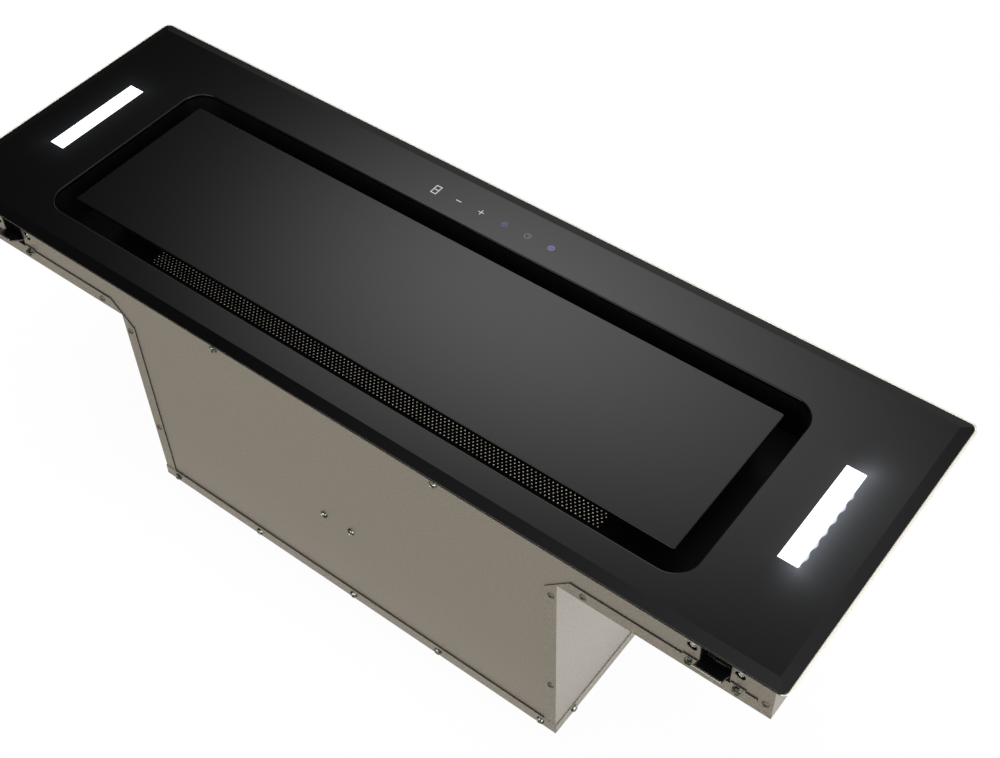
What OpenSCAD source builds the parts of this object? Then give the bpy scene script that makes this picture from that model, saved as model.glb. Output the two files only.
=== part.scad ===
/* [Fascia glass] */
// Length of the fascia glass
glass_w = 900; // [860:1:1000]
// Depth of the fascia glass
glass_d = 294; // [290:1:320]
// Thickness of the fascia glass
glass_t = 4; // [3.5:0.5:7]
// Corner radius of the fascia glass
glass_r = 6; // [2:0.5:9]
// Width of the polished bevel round the glass
bevel_w = 10; // [6:0.5:14]
// How far the bevel drops at the edge of the glass
bevel_drop = 2.6; // [1:0.1:3.5]
// Width of the glass at each end of its opening
end_band = 105; // [98:1:115]
// Width of the glass in front of its opening
front_band = 34.6; // [32:0.1:38]
// Width of the glass behind its opening, which carries the touch keys
rear_band = 59.4; // [57:0.1:64]
// Corner radius of the opening
opening_r = 22; // [14:1:30]

/* [Steel tray under the glass] */
// Thickness of the folded steel sheets
sheet_t = 1; // [0.8:0.1:1.2]
// How far the tray stands out beyond the ends and the rear of the glass
tray_ledge = 2; // [1:0.1:3]

/* [Pan and housing] */
// How far the glass reaches beyond each end of the pan
overhang_x = 12.8; // [10:0.1:18]
// How far the glass reaches beyond the front and the rear of the pan
overhang_y = 17.3; // [15:0.1:20]
// Height of the pan, from the face of the glass
pan_h = 73.8; // [72:0.1:80]
// Length of the deep housing in the middle
housing_w = 491; // [470:1:510]
// Height of the whole body, from the lid to the face of the glass
body_h = 310; // [305:1:330]
// Width of the flanges that lap the front and rear sheets
flange_w = 12.5; // [10:0.5:13]
// Height of the lid's flange
lid_flange_h = 12; // [10:0.5:16]
// Clearance between sheets that fit inside each other
sheet_gap = 0.2; // [0.1:0.05:0.3]

/* [Recess and filter] */
// Depth of the recess floor below the face of the glass
recess_depth = 46; // [44:0.5:48]
// How far the recess wall stands back from the edge of the glass
recess_back = 1; // [0.5:0.1:1.5]
// Width of the recess's lip, glued under the glass
recess_lip_w = 8; // [6:0.5:9]
// Distance from each end of the filter to the end of the opening
filter_end_gap = 80; // [70:1:90]
// Distance from the filter's front and rear to those of the opening
filter_side_gap = 19; // [18:0.5:22]
// Thickness of the grease filter
filter_t = 12; // [10:0.5:13]
// Width of the filter's frame round the perforated sheet
filter_frame_w = 11; // [8:0.5:12]
// How far the filter is pushed back to free it
filter_travel = 5; // [3:0.5:6]
// Length of the two tongues that hold the filter's front edge
tongue_l = 3.5; // [2:0.5:4]
// Diameter of a hole in the perforated sheet
perf_d = 9; // [6:0.5:10]
// Distance between holes in a row
perf_pitch = 17; // [16:0.5:20]

/* [Centre panel] */
// Width of the air gap round the centre panel
air_gap = 20.5; // [18:0.5:22]
// Thickness of the panel's glass
panel_glass_t = 4; // [3:0.5:5]
// Corner radius of the panel's glass
panel_r = 2; // [1:0.5:4]
// How far the panel's steel tray stands back from the edge of its glass
panel_tray_inset = 10; // [8:0.5:14]
// Depth of the folded rim of the panel's tray
panel_tray_h = 14; // [12:0.5:15]
// Distance of the two hinges from the ends of the opening
hinge_end_gap = 45; // [40:0.5:52]
// Distance of the two catches from the panel's front edge
catch_inset = 39.5; // [30:0.5:50]
// Diameter of the catch magnets
magnet_d = 12; // [10:0.5:13]
// Diameter of the steel discs that the magnets hold
strike_d = 16; // [14:0.5:18]
// Diameter of the hinge pins
hinge_pin_d = 5; // [4:0.5:6]
// How far the hinge axis lies in front of the panel's rear edge
hinge_inset = 11; // [10:0.5:13]
// How far the hinge axis lies below the face of the glass
hinge_depth = 27; // [26:0.5:28]

/* [Lights and touch control] */
// Length of a light window
led_l = 104.4; // [80:0.2:120]
// Width of a light window
led_w = 17.4; // [14:0.2:20]
// Distance of a light window's middle from the end of the glass
led_inset = 54.1; // [50:0.1:58]
// Diodes on each light board
led_count = 8; // [6:1:12]
// Distance of the touch keys from the rear edge of the glass
touch_inset = 36.8; // [34:0.1:38]
// Distance between two touch keys
touch_pitch = 25.8; // [20:0.1:28]

/* [Mounting clips] */
// Distance of the clips from the ends of the pan
clip_inset = 50; // [45:0.1:56]
// Width of the window for a clip
clip_window_w = 26.5; // [24:0.5:28]
// Height of the window for a clip
clip_window_h = 38; // [36:0.5:40]
// Thickness of a clip's pawl
pawl_t = 1.5; // [1:0.1:2]
// How far a pawl's tip reaches beyond its pivot, outwards
pawl_out = 25.5; // [20:0.5:26]
// How far a pawl's tip lies above its pivot
pawl_up = 17; // [15:0.5:19]
// Distance between the two screws of a clip
clip_screw_pitch = 41; // [40:0.5:44]
// Diameter of the access holes above the clip screws
access_d = 9; // [8:0.5:10]

/* [Fasteners] */
// Diameter of a pan-head screw's head
screw_head_d = 8; // [6:0.5:9]
// Height of a pan-head screw's head
screw_head_h = 2.6; // [2:0.1:3.5]
// Diameter of a screw's thread
screw_d = 3.9; // [3:0.1:4.2]
// Diameter of a rivet's head
rivet_d = 6.4; // [5:0.1:7]
// Height of a rivet's head
rivet_h = 1.3; // [1:0.1:1.6]
// Distance of the outer lid screws from the ends of the lid
lid_screw_inset = 16; // [10:0.5:20]
// Distance of the upper rivets from the pan's underside
rivet_drop = 19; // [14:0.5:24]
// Distance of the lower rivets from the lid
rivet_rise = 77; // [60:0.5:90]
// Distance of the two screws of the recess from the middle
well_screw_x = 122.5; // [100:0.5:140]
// Running clearance of a pin in its bore
run_gap = 0.05; // [0.02:0.01:0.08]
// Gap between pieces that move past each other
move_gap = 0.3; // [0.3:0.05:0.5]

/* [Blower] */
// Gap between the scroll and the front sheet
blower_front_gap = 2.9; // [2:0.1:5]
// Gap between the scroll and the filter
blower_filter_gap = 12; // [8:0.5:14]
// Radius of the impeller
impeller_r = 76; // [72:1:78]
// Width of the impeller
impeller_w = 100; // [80:1:104]
// Number of blades
blade_count = 32; // [20:1:36]
// Radius of the scroll at its tongue
scroll_r = 84; // [83:0.5:85]
// How much the scroll's radius grows in three quarters of a turn
scroll_growth = 34; // [30:1:36]
// Thickness of the scroll's walls
scroll_t = 1.5; // [1:0.1:2]
// Radius of the two air inlets
inlet_r = 62; // [58:1:64]
// How far the scroll's two mounting screws lie below its axis
lug_drop = 18; // [14:0.5:22]
// Distance between the scroll's two mounting screws
lug_screw_pitch = 32.8; // [28:0.1:40]
// Radius of the motor
motor_r = 44; // [38:1:46]
// Length of the motor
motor_l = 68; // [60:1:72]
// Diameter of the motor's shaft
shaft_d = 8; // [6:0.5:10]

/* [Duct outlet] */
// Outer diameter of the duct spigot
duct_d = 150; // [140:1:152]
// How far the spigot stands out of the lid
spigot_l = 45; // [35:1:60]
// Wall of the spigot
spigot_t = 2.5; // [2:0.1:3]
// Width of the spigot's flange
spigot_flange_w = 13; // [12:0.5:15]
// Distance of the spigot behind the middle
spigot_y = 25; // [20:1:28]
// Thickness of a backdraft flap
flap_t = 1.5; // [1:0.1:2]

/* [Electrics] */
// Length of the control box
box_l = 170; // [140:1:180]
// Width of the control box
box_w = 58; // [50:1:62]
// Height of the control box
box_h = 36; // [30:1:37]
// Distance of the cable gland from the left end of the pan
gland_inset = 107.2; // [90:0.1:120]
// Height of the cable gland above the underside of the pan
gland_height = 24; // [16:1:40]
// How far the control box stays from the end of the pan
box_end_gap = 14; // [6:1:30]
// Bore of the cable gland
gland_bore_d = 8; // [6:0.5:9]
// Diameter of the motor's capacitor
capacitor_d = 36; // [30:1:40]
// Height of the motor's capacitor
capacitor_h = 62; // [50:1:70]
// Distance of the capacitor's middle from the left side of the housing
capacitor_side = 95; // [90:1:100]
// Distance of the capacitor's middle from the front of the housing
capacitor_front = 68; // [64:1:72]
// Length of the lamp driver
driver_l = 110; // [100:1:120]
// Width of the lamp driver
driver_w = 44; // [40:1:46]
// Height of the lamp driver
driver_h = 24; // [20:1:26]
// Length of the main board
board_l = 120; // [112:1:124]

/* [Hidden] */
$fn = 64;
EPS = 0.01;

// heights, from the spigot's rim, which the hood stands on with its glass up
top_z = spigot_l + body_h;
glass_z = top_z - glass_t;
ring_z = glass_z - sheet_t;
seat_z = glass_z;
pan_z = top_z - pan_h;
lid_z = spigot_l;
floor_z = top_z - recess_depth;
flange_z = pan_z + flange_w + 1.3;

// opening of the glass and the body's outline under it
opening_w = glass_w - 2 * end_band;
opening_d = glass_d - front_band - rear_band;
opening_shift = (rear_band - front_band) / 2;
pan_w = glass_w - 2 * overhang_x;
pan_d = glass_d - 2 * overhang_y;

// planes of the body's sheets
front_y = pan_d / 2;
sheet_y = front_y - sheet_t;
pan_x = pan_w / 2;
housing_x = housing_w / 2;
tray_w = glass_w + 2 * tray_ledge;
tray_d = glass_d + tray_ledge;

// centre panel, which hangs in the opening with the air gap round it
panel_w = opening_w - 2 * air_gap - 1;
panel_d = opening_d - 2 * air_gap;
panel_rear_y = panel_d / 2 - opening_shift;
hinge_x = opening_w / 2 - hinge_end_gap;
hinge_y = panel_rear_y - hinge_inset;
hinge_z = top_z - hinge_depth;
tray_under_z = top_z - panel_glass_t - panel_tray_h;
hinge_arm_w = 10;
hinge_foot_l = 30;
hinge_ear_t = 2;
hinge_pin_x = hinge_arm_w / 2 + move_gap + hinge_ear_t + 0.8;
post_y = -opening_shift - panel_d / 2 + catch_inset;
post_w = 18;
magnet_h = 4;
strike_t = 1.5;

// grease filter, at rest against its front stop
filter_w = opening_w - 2 * filter_end_gap;
filter_d = opening_d - 2 * filter_side_gap;
filter_front_y = -opening_shift - filter_d / 2;
filter_rear_y = -opening_shift + filter_d / 2;
filter_z = floor_z - filter_t;
perf_nx = floor((filter_w - 2 * filter_frame_w) / perf_pitch);
perf_ny = floor((filter_d - 2 * filter_frame_w) / (perf_pitch / 2));
rail_z = filter_z - move_gap;
frame_t = 1;
face_t = 0.8;

// lights and touch control
led_x = glass_w / 2 - led_inset;
touch_y = glass_d / 2 - touch_inset;

// mounting clips
clip_x = pan_x - clip_inset;
pawl_y = front_y - 10.7;
pawl_z = pan_z + 13.8;
pawl_w = clip_window_w - 1.5;
pawl_knuckle_r = 3;
pawl_pin_d = 3;
spring_room = 9;
clip_screw_z = pan_z + 11.8;
access_z = pan_z + 29.8;
clip_tab_w = 13;
clip_tab_h = 2.2;
clip_window_z = flange_z;
cheek_t = 1.5;
cheek_x = pawl_w / 2 + move_gap;
clip_depth = 22;
clip_foot_w = clip_screw_pitch / 2 + screw_head_d / 2 + 2.5 - cheek_x;
access_set = 3;

// fasteners on the sheets
lid_screw_shift = [0, 0, 8, -3, 0];
lid_screw_span = housing_w - 2 * lid_screw_inset;
lid_screw_x = [for (i = [0:4]) (i / 4 - 0.5) * lid_screw_span + lid_screw_shift[i]];
lid_side_screw_y = 103;
lid_screw_z = lid_z + 6;
rivet_x = housing_x - flange_w / 2 + 0.5;
rivet_z = [pan_z - rivet_drop, lid_z + rivet_rise];
pan_rivet_x = housing_x + 24.5;
pan_rivet_z = pan_z + 6.3;
end_rivet_z = pan_z + 15;
well_screw_z = floor_z + 5;
lug_screw_x = lug_screw_pitch / 2;

// blower
scroll_front_r = scroll_r + scroll_growth / 3 + scroll_t;
scroll_top_r = scroll_r + scroll_growth * 2 / 3 + scroll_t;
axis_y = -(sheet_y - sheet_t) + blower_front_gap + scroll_front_r;
axis_z = filter_z - blower_filter_gap - scroll_top_r;
lug_screw_z = axis_z - lug_drop;
lug_w = lug_screw_pitch + 27;
lug_h = 28;
scroll_w = impeller_w + 16;
exit_z = axis_z - scroll_r;
tongue_a = 35;
tongue_y = axis_y + scroll_r * sin(tongue_a);
scroll_outer_r = scroll_r + scroll_growth;
exit_outer_y = axis_y + scroll_outer_r;
blade_in_r = impeller_r - 12;
hub_r = 10;
motor_x = 6;

// outlet
spigot_r = duct_d / 2;
throat_r = spigot_r - spigot_t;
spigot_in = 28;
flap_z = lid_z + 18;
flap_pin_d = 4;
flap_r = throat_r - 1;
flap_knuckle_r = flap_pin_d / 2 + 1.4;
flap_offset = flap_knuckle_r + move_gap;
transition_z = lid_z + spigot_in + 1;

// electrics
box_x = pan_x - sheet_t - box_w - box_end_gap;
box_z = pan_z + sheet_t;
gland_x = pan_x - gland_inset;
gland_z = pan_z + gland_height;

// helpers

module left_and_right() {
  children();
  mirror([1, 0, 0]) children();
}

module front_and_rear() {
  children();
  mirror([0, 1, 0]) children();
}

// rectangle with true round corners, centred
module round_rect(w, d, r) {
  square([w - 2 * r, d], center = true);
  square([w, d - 2 * r], center = true);
  for (sx = [-1, 1], sy = [-1, 1])
    translate([sx * (w / 2 - r), sy * (d / 2 - r)]) circle(r);
}

// flat outline in X and Z, thickened backwards from the plane y
module upright_plate(y, t) {
  translate([0, y + t, 0]) rotate([90, 0, 0]) linear_extrude(t) children();
}

// outline in Y and Z, thickened along X from x0 to x1
module cross_piece(x0, x1) {
  translate([x0, 0, 0]) rotate([90, 0, 90]) linear_extrude(x1 - x0) children();
}

// pan-head screw with a cross recess, whose head rests on z = 0 and whose thread points down
module pan_screw(thread) {
  difference() {
    union() {
      cylinder(h = screw_head_h * 0.55, d = screw_head_d);
      translate([0, 0, screw_head_h * 0.55])
        cylinder(h = screw_head_h * 0.45, d1 = screw_head_d, d2 = screw_head_d * 0.62);
      translate([0, 0, -thread]) cylinder(h = thread + EPS, d = screw_d);
    }
    for (a = [0, 90])
      rotate(a) translate([0, 0, screw_head_h]) cube([screw_head_d * 0.5, 0.9, 2.4], center = true);
  }
}

// blind rivet, whose head rests on z = 0
module rivet() {
  difference() {
    union() {
      cylinder(h = rivet_h * 0.4, d = rivet_d);
      translate([0, 0, rivet_h * 0.4]) cylinder(h = rivet_h * 0.6, d1 = rivet_d, d2 = rivet_d * 0.55);
    }
    translate([0, 0, rivet_h * 0.35]) cylinder(h = rivet_h, d = 1.9);
  }
}

// turns a fastener so that it stands on the front face, on the plane y = -y0
module on_front(x, z, y0) {
  translate([x, -y0, z]) rotate([90, 0, 0]) children();
}

// glass

module fascia_glass() {
  bevel_a = atan2(bevel_drop, bevel_w);
  color([0.05, 0.05, 0.055])
  difference() {
    translate([0, 0, glass_z]) linear_extrude(glass_t) difference() {
      round_rect(glass_w, glass_d, glass_r);
      translate([0, -opening_shift]) round_rect(opening_w, opening_d, opening_r);
      left_and_right() translate([led_x, 0]) square([led_w, led_l], center = true);
    }
    for (s = [-1, 1]) {
      translate([s * (glass_w / 2 - bevel_w), 0, top_z]) rotate([0, s * bevel_a, 0])
        translate([s * bevel_w, 0, 5]) cube([2 * bevel_w, glass_d + 20, 10], center = true);
      translate([0, s * (glass_d / 2 - bevel_w), top_z]) rotate([-s * bevel_a, 0, 0])
        translate([0, s * bevel_w, 5]) cube([glass_w + 20, 2 * bevel_w, 10], center = true);
    }
  }
}

module fascia_tray() {
  color([0.72, 0.70, 0.66])
  translate([0, 0, ring_z]) linear_extrude(sheet_t) difference() {
    translate([0, tray_ledge / 2]) round_rect(tray_w, tray_d, glass_r + tray_ledge);
    square([pan_w + 2 * sheet_gap, pan_d + 2 * sheet_gap], center = true);
  }
}

// outline of the recess, grown by w
module recess_outline(w) {
  round_rect(opening_w + 2 * (recess_back + w), opening_d + 2 * (recess_back + w), opening_r + recess_back + w);
}

// folded band that lines the opening, with a lip glued under the glass
module recess_wall() {
  color([0.03, 0.03, 0.03])
  translate([0, -opening_shift, 0])
  difference() {
    union() {
      translate([0, 0, floor_z - sheet_t]) linear_extrude(glass_z - floor_z + sheet_t) recess_outline(sheet_t);
      translate([0, 0, glass_z - sheet_t]) linear_extrude(sheet_t) recess_outline(recess_lip_w);
    }
    translate([0, 0, floor_z - sheet_t - 1]) linear_extrude(recess_depth + sheet_t) recess_outline(0);
  }
}

module recess_floor() {
  color([0.03, 0.03, 0.03])
  translate([0, -opening_shift, floor_z - sheet_t]) linear_extrude(sheet_t) difference() {
    recess_outline(0);
    translate([0, (filter_travel + sheet_gap) / 2])
      square([filter_w + 2 * move_gap, filter_d + 2 * move_gap + filter_travel + sheet_gap], center = true);
  }
}

// folded straps from the front and rear sheets to the recess, under its screws
module recess_straps() {
  strap_w = 20;
  strap_h = 12;
  in_y = sheet_y - sheet_t;
  color([0.6, 0.6, 0.6])
  for (s = [-1, 1]) {
    wall_y = -s * opening_shift + opening_d / 2 + recess_back + sheet_t;
    left_and_right() scale([1, s, 1]) translate([well_screw_x - strap_w / 2, wall_y, well_screw_z - strap_h / 2])
      difference() {
        cube([strap_w, in_y - wall_y, strap_h]);
        translate([-1, sheet_t, -1]) cube([strap_w + 2, in_y - wall_y - 2 * sheet_t, strap_h - sheet_t + 1]);
        translate([strap_w / 2, in_y - wall_y - 2 * sheet_t, strap_h / 2]) rotate([-90, 0, 0])
          cylinder(h = 3 * sheet_t, d = screw_d + 0.1);
      }
  }
}

// centre panel

module panel_glass() {
  color([0.10, 0.10, 0.105])
  translate([0, -opening_shift, top_z - panel_glass_t]) linear_extrude(panel_glass_t)
    round_rect(panel_w, panel_d, panel_r);
}

module panel_tray() {
  outer_w = panel_w - 2 * panel_tray_inset;
  outer_d = panel_d - 2 * panel_tray_inset;
  notch_w = hinge_arm_w + 2 * move_gap;
  color([0.45, 0.45, 0.45])
  translate([0, -opening_shift, tray_under_z])
  difference() {
    linear_extrude(panel_tray_h) round_rect(outer_w, outer_d, 3);
    translate([0, 0, -sheet_t]) linear_extrude(panel_tray_h)
      round_rect(outer_w - 2 * sheet_t, outer_d - 2 * sheet_t, 2);
    left_and_right() translate([hinge_x - notch_w / 2, outer_d / 2 - 2 * sheet_t, -sheet_t])
      cube([notch_w, 4 * sheet_t, panel_tray_h]);
  }
}

// arm and knuckle of a panel hinge, cut from thick strip
module panel_hinge_arms() {
  arm_w = hinge_arm_w;
  knuckle_r = hinge_pin_d / 2 + 2.5;
  color([0.6, 0.6, 0.62])
  left_and_right() cross_piece(hinge_x - arm_w / 2, hinge_x + arm_w / 2) difference() {
    union() {
      translate([hinge_y, hinge_z]) circle(knuckle_r);
      translate([hinge_y - hinge_foot_l, top_z - panel_glass_t - sheet_t - 4]) square([hinge_foot_l + 4, 4]);
      translate([hinge_y - 4, hinge_z]) square([7, hinge_depth - panel_glass_t - sheet_t]);
    }
    translate([hinge_y, hinge_z]) circle(d = hinge_pin_d + 2 * run_gap);
  }
}

module panel_hinge_brackets() {
  ear_t = hinge_ear_t;
  ear_x = hinge_arm_w / 2 + move_gap;
  color([0.6, 0.6, 0.62])
  left_and_right() translate([hinge_x, 0, 0]) {
    for (s = [-1, 1])
      translate([s * (ear_x + ear_t / 2), 0, 0]) cross_piece(-ear_t / 2, ear_t / 2) difference() {
        union() {
          translate([hinge_y, hinge_z]) circle(hinge_pin_d / 2 + 3);
          translate([hinge_y - hinge_pin_d / 2 - 3, floor_z])
            square([hinge_pin_d + 6, hinge_z - floor_z]);
        }
        translate([hinge_y, hinge_z]) circle(d = hinge_pin_d);
      }
    translate([-ear_x - ear_t, hinge_y - 8, floor_z]) cube([2 * (ear_x + ear_t), 16, 2]);
  }
}

module panel_hinge_pins() {
  color([0.75, 0.75, 0.77])
  left_and_right() translate([hinge_x, hinge_y, hinge_z]) rotate([0, 90, 0]) {
    cylinder(h = 2 * hinge_pin_x, d = hinge_pin_d, center = true);
    for (s = [-1, 1]) translate([0, 0, s * hinge_pin_x]) cylinder(h = 1.4, d = hinge_pin_d + 2, center = true);
  }
}

module panel_posts() {
  post_top = top_z - panel_glass_t - sheet_t - strike_t - move_gap - magnet_h;
  color([0.08, 0.08, 0.08])
  left_and_right() translate([hinge_x, post_y, floor_z]) difference() {
    translate([-post_w / 2, -post_w / 2, 0]) cube([post_w, post_w, post_top - floor_z + 2]);
    translate([0, 0, post_top - floor_z]) cylinder(h = 5, d = magnet_d);
    translate([0, 0, -1]) cylinder(h = post_top - floor_z - 2, d = 11);
  }
}

module panel_magnets() {
  color([0.7, 0.7, 0.72])
  left_and_right()
    translate([hinge_x, post_y, top_z - panel_glass_t - sheet_t - strike_t - move_gap - magnet_h])
      cylinder(h = magnet_h, d = magnet_d);
}

module panel_strikes() {
  color([0.65, 0.65, 0.67])
  left_and_right() translate([hinge_x, post_y, top_z - panel_glass_t - sheet_t - strike_t])
    cylinder(h = strike_t, d = strike_d);
}

// grease filter

module filter_frame() {
  color([0.04, 0.04, 0.04])
  union() {
    translate([0, -opening_shift, filter_z]) difference() {
      linear_extrude(filter_t) difference() {
        round_rect(filter_w, filter_d, 3);
        round_rect(filter_w - 2 * filter_frame_w, filter_d - 2 * filter_frame_w, 2);
      }
      translate([0, 0, frame_t]) linear_extrude(filter_t - 2 * frame_t)
        round_rect(filter_w - 2 * frame_t, filter_d - 2 * frame_t, 2);
    }
    left_and_right() translate([filter_w / 4 - 10, filter_front_y - tongue_l, floor_z - sheet_t - move_gap - frame_t])
      cube([20, tongue_l + frame_t / 2, frame_t]);
  }
}

module filter_face() {
  color([0.04, 0.04, 0.04])
  translate([0, -opening_shift, floor_z - frame_t - face_t]) linear_extrude(face_t) difference() {
    square([filter_w - 2 * frame_t - 1, filter_d - 2 * frame_t - 1], center = true);
    for (j = [0:perf_ny - 1], i = [0:perf_nx - 1])
      translate([(i - (perf_nx - 1) / 2 + (j % 2 - 0.5) / 2) * perf_pitch,
                 (j - (perf_ny - 1) / 2) * perf_pitch / 2])
        if (abs(j - (perf_ny - 1) / 2) > 2 || abs(i - (perf_nx - 1) / 2) > 3) circle(d = perf_d);
  }
}

module filter_mesh() {
  color([0.75, 0.75, 0.77])
  translate([0, -opening_shift, filter_z + frame_t]) linear_extrude(filter_t - 2 * frame_t - face_t)
    square([filter_w - 2 * frame_t - 1, filter_d - 2 * frame_t - 1], center = true);
}

module filter_handle() {
  handle_w = 80;
  handle_d = 9;
  handle_h = 16;
  color([0.06, 0.06, 0.06])
  translate([0, -opening_shift, floor_z - frame_t]) rotate([90, 0, 0])
  translate([0, 0, -handle_d / 2]) linear_extrude(handle_d) difference() {
    translate([0, handle_h / 2]) round_rect(handle_w, handle_h, 3);
    translate([0, handle_h / 2 - 1.5]) round_rect(handle_w - 14, handle_h - 7, 2);
  }
}

module filter_rails() {
  rail_w = 14;
  rail_l = filter_w + 30;
  color([0.6, 0.6, 0.6])
  for (s = [-1, 1]) {
    edge_y = s < 0 ? filter_front_y : filter_rear_y + filter_travel;
    wall_y = edge_y + s * (tongue_l + move_gap + sheet_t / 2);
    translate([0, wall_y, (rail_z + floor_z - sheet_t) / 2])
      cube([rail_l, sheet_t, floor_z - sheet_t - rail_z], center = true);
    translate([0, wall_y - s * (rail_w - sheet_t) / 2, rail_z - sheet_t / 2])
      cube([rail_l, rail_w, sheet_t], center = true);
  }
}

// body sheets

// half outline of the front and rear sheets, in X and Z
module t_outline() {
  x1 = pan_x - sheet_t - sheet_gap;
  x0 = housing_x - sheet_t - sheet_gap;
  z1 = pan_z + sheet_t + sheet_gap;
  z0 = lid_z + sheet_t + sheet_gap;
  polygon([[-x1, seat_z], [x1, seat_z], [x1, z1], [x0, z1], [x0, z0], [-x0, z0], [-x0, z1], [-x1, z1]]);
}

module clip_cutouts() {
  left_and_right() {
    translate([clip_x - clip_window_w / 2, clip_window_z]) square([clip_window_w, clip_window_h]);
    for (s = [-1, 1]) {
      translate([clip_x + s * clip_screw_pitch / 2, access_z]) circle(d = access_d);
      translate([clip_x + s * clip_screw_pitch / 2, clip_screw_z]) circle(d = screw_d + 0.4);
    }
  }
}

module front_sheet() {
  color([0.55, 0.52, 0.47])
  upright_plate(-sheet_y, sheet_t) difference() {
    t_outline();
    clip_cutouts();
    left_and_right() {
      translate([well_screw_x, well_screw_z]) circle(d = screw_d + 0.4);
      translate([lug_screw_x, lug_screw_z]) circle(d = screw_d + 0.4);
    }
  }
}

module rear_sheet() {
  color([0.55, 0.52, 0.47])
  upright_plate(sheet_y - sheet_t, sheet_t) difference() {
    t_outline();
    clip_cutouts();
    left_and_right() {
      translate([well_screw_x, well_screw_z]) circle(d = screw_d + 0.4);
      translate([lug_screw_x, lug_screw_z]) circle(d = screw_d + 0.4);
    }
    translate([-gland_x, gland_z]) circle(d = 16 + 2 * run_gap);
  }
}

// folded sheet: housing side, pan underside and pan end, with lapped flanges front and rear
module side_wrap() {
  low_z = lid_z + sheet_t + sheet_gap;
  cut_z = pan_z - (flange_w - 1.3);
  seam = 0.4;
  union() {
    translate([0, front_y, 0]) rotate([90, 0, 0]) linear_extrude(pan_d) polygon([
      [housing_x, low_z], [housing_x, pan_z], [pan_x, pan_z], [pan_x, seat_z],
      [pan_x - sheet_t, seat_z], [pan_x - sheet_t, pan_z + sheet_t],
      [housing_x - sheet_t, pan_z + sheet_t], [housing_x - sheet_t, low_z]
    ]);
    front_and_rear() upright_plate(-front_y, sheet_t) difference() {
      union() {
        polygon([
          [housing_x - flange_w, low_z], [housing_x - flange_w, cut_z],
          [housing_x + flange_w - 1, flange_z], [pan_x - flange_w - seam, flange_z],
          [pan_x - flange_w - seam, pan_z + flange_w], [pan_x - seam, pan_z],
          [housing_x, pan_z], [housing_x, low_z]
        ]);
        for (s = [-1, 1])
          translate([clip_x + s * clip_screw_pitch / 2 - clip_tab_w / 2, flange_z - EPS])
            square([clip_tab_w, clip_tab_h]);
        polygon([
          [pan_x, pan_z], [pan_x, seat_z], [pan_x - flange_w, seat_z], [pan_x - flange_w, pan_z + flange_w]
        ]);
      }
      for (s = [-1, 1])
        translate([clip_x + s * clip_screw_pitch / 2, clip_screw_z]) circle(d = screw_d + 0.4);
    }
  }
}

module side_wrap_right() {
  color([0.72, 0.70, 0.66]) side_wrap();
}

module side_wrap_left() {
  color([0.72, 0.70, 0.66]) mirror([1, 0, 0]) side_wrap();
}

module end_lid() {
  lid_w = housing_w + 2 * sheet_t;
  lid_d = pan_d + 2 * sheet_t;
  notch = 1.5;
  color([0.6, 0.57, 0.52])
  difference() {
    translate([0, 0, lid_z]) linear_extrude(lid_flange_h) square([lid_w, lid_d], center = true);
    translate([0, 0, lid_z + sheet_t]) linear_extrude(lid_flange_h)
      square([housing_w, pan_d], center = true);
    for (sx = [-1, 1], sy = [-1, 1])
      translate([sx * lid_w / 2, sy * lid_d / 2, lid_z + sheet_t + lid_flange_h / 2])
        cube([notch, notch, lid_flange_h], center = true);
    translate([0, spigot_y, lid_z - 1]) cylinder(h = sheet_t + 2, r = spigot_r + 1);
    for (a = [45:90:315])
      translate([0, spigot_y, lid_z - 1]) rotate(a)
        translate([spigot_r + spigot_flange_w / 2 + 1, 0, 0]) cylinder(h = sheet_t + 2, d = screw_d + 0.4);
    front_and_rear() for (x = lid_screw_x)
      on_front(x, lid_screw_z, lid_d / 2 - sheet_t - 1) cylinder(h = sheet_t + 2, d = screw_d + 0.4);
    for (sx = [-1, 1], sy = [-1, 1])
      translate([sx * lid_w / 2, sy * lid_side_screw_y, lid_screw_z]) rotate([0, 90, 0])
        cylinder(h = 4 * sheet_t, d = screw_d + 0.4, center = true);
  }
}

// fasteners

module lid_screws() {
  color([0.75, 0.76, 0.78]) {
    front_and_rear() for (x = lid_screw_x)
      on_front(x, lid_screw_z, front_y + sheet_t) pan_screw(sheet_t - sheet_gap);
    for (sx = [-1, 1], sy = [-1, 1])
      translate([sx * (housing_x + sheet_t), sy * lid_side_screw_y, lid_screw_z])
        rotate([0, sx * 90, 0]) pan_screw(sheet_t - sheet_gap);
  }
}

module sheet_screws() {
  color([0.75, 0.76, 0.78])
  front_and_rear() left_and_right() {
    on_front(well_screw_x, well_screw_z, sheet_y) pan_screw(2.5 * sheet_t);
    on_front(lug_screw_x, lug_screw_z, sheet_y) pan_screw(sheet_t - sheet_gap);
  }
}

module sheet_rivets() {
  color([0.7, 0.71, 0.72])
  front_and_rear() left_and_right() {
    for (z = rivet_z) on_front(rivet_x, z, front_y) rivet();
    on_front(pan_rivet_x, pan_rivet_z, front_y) rivet();
    on_front(pan_x - flange_w / 2, end_rivet_z, front_y) rivet();
  }
}

// mounting clips

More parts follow.
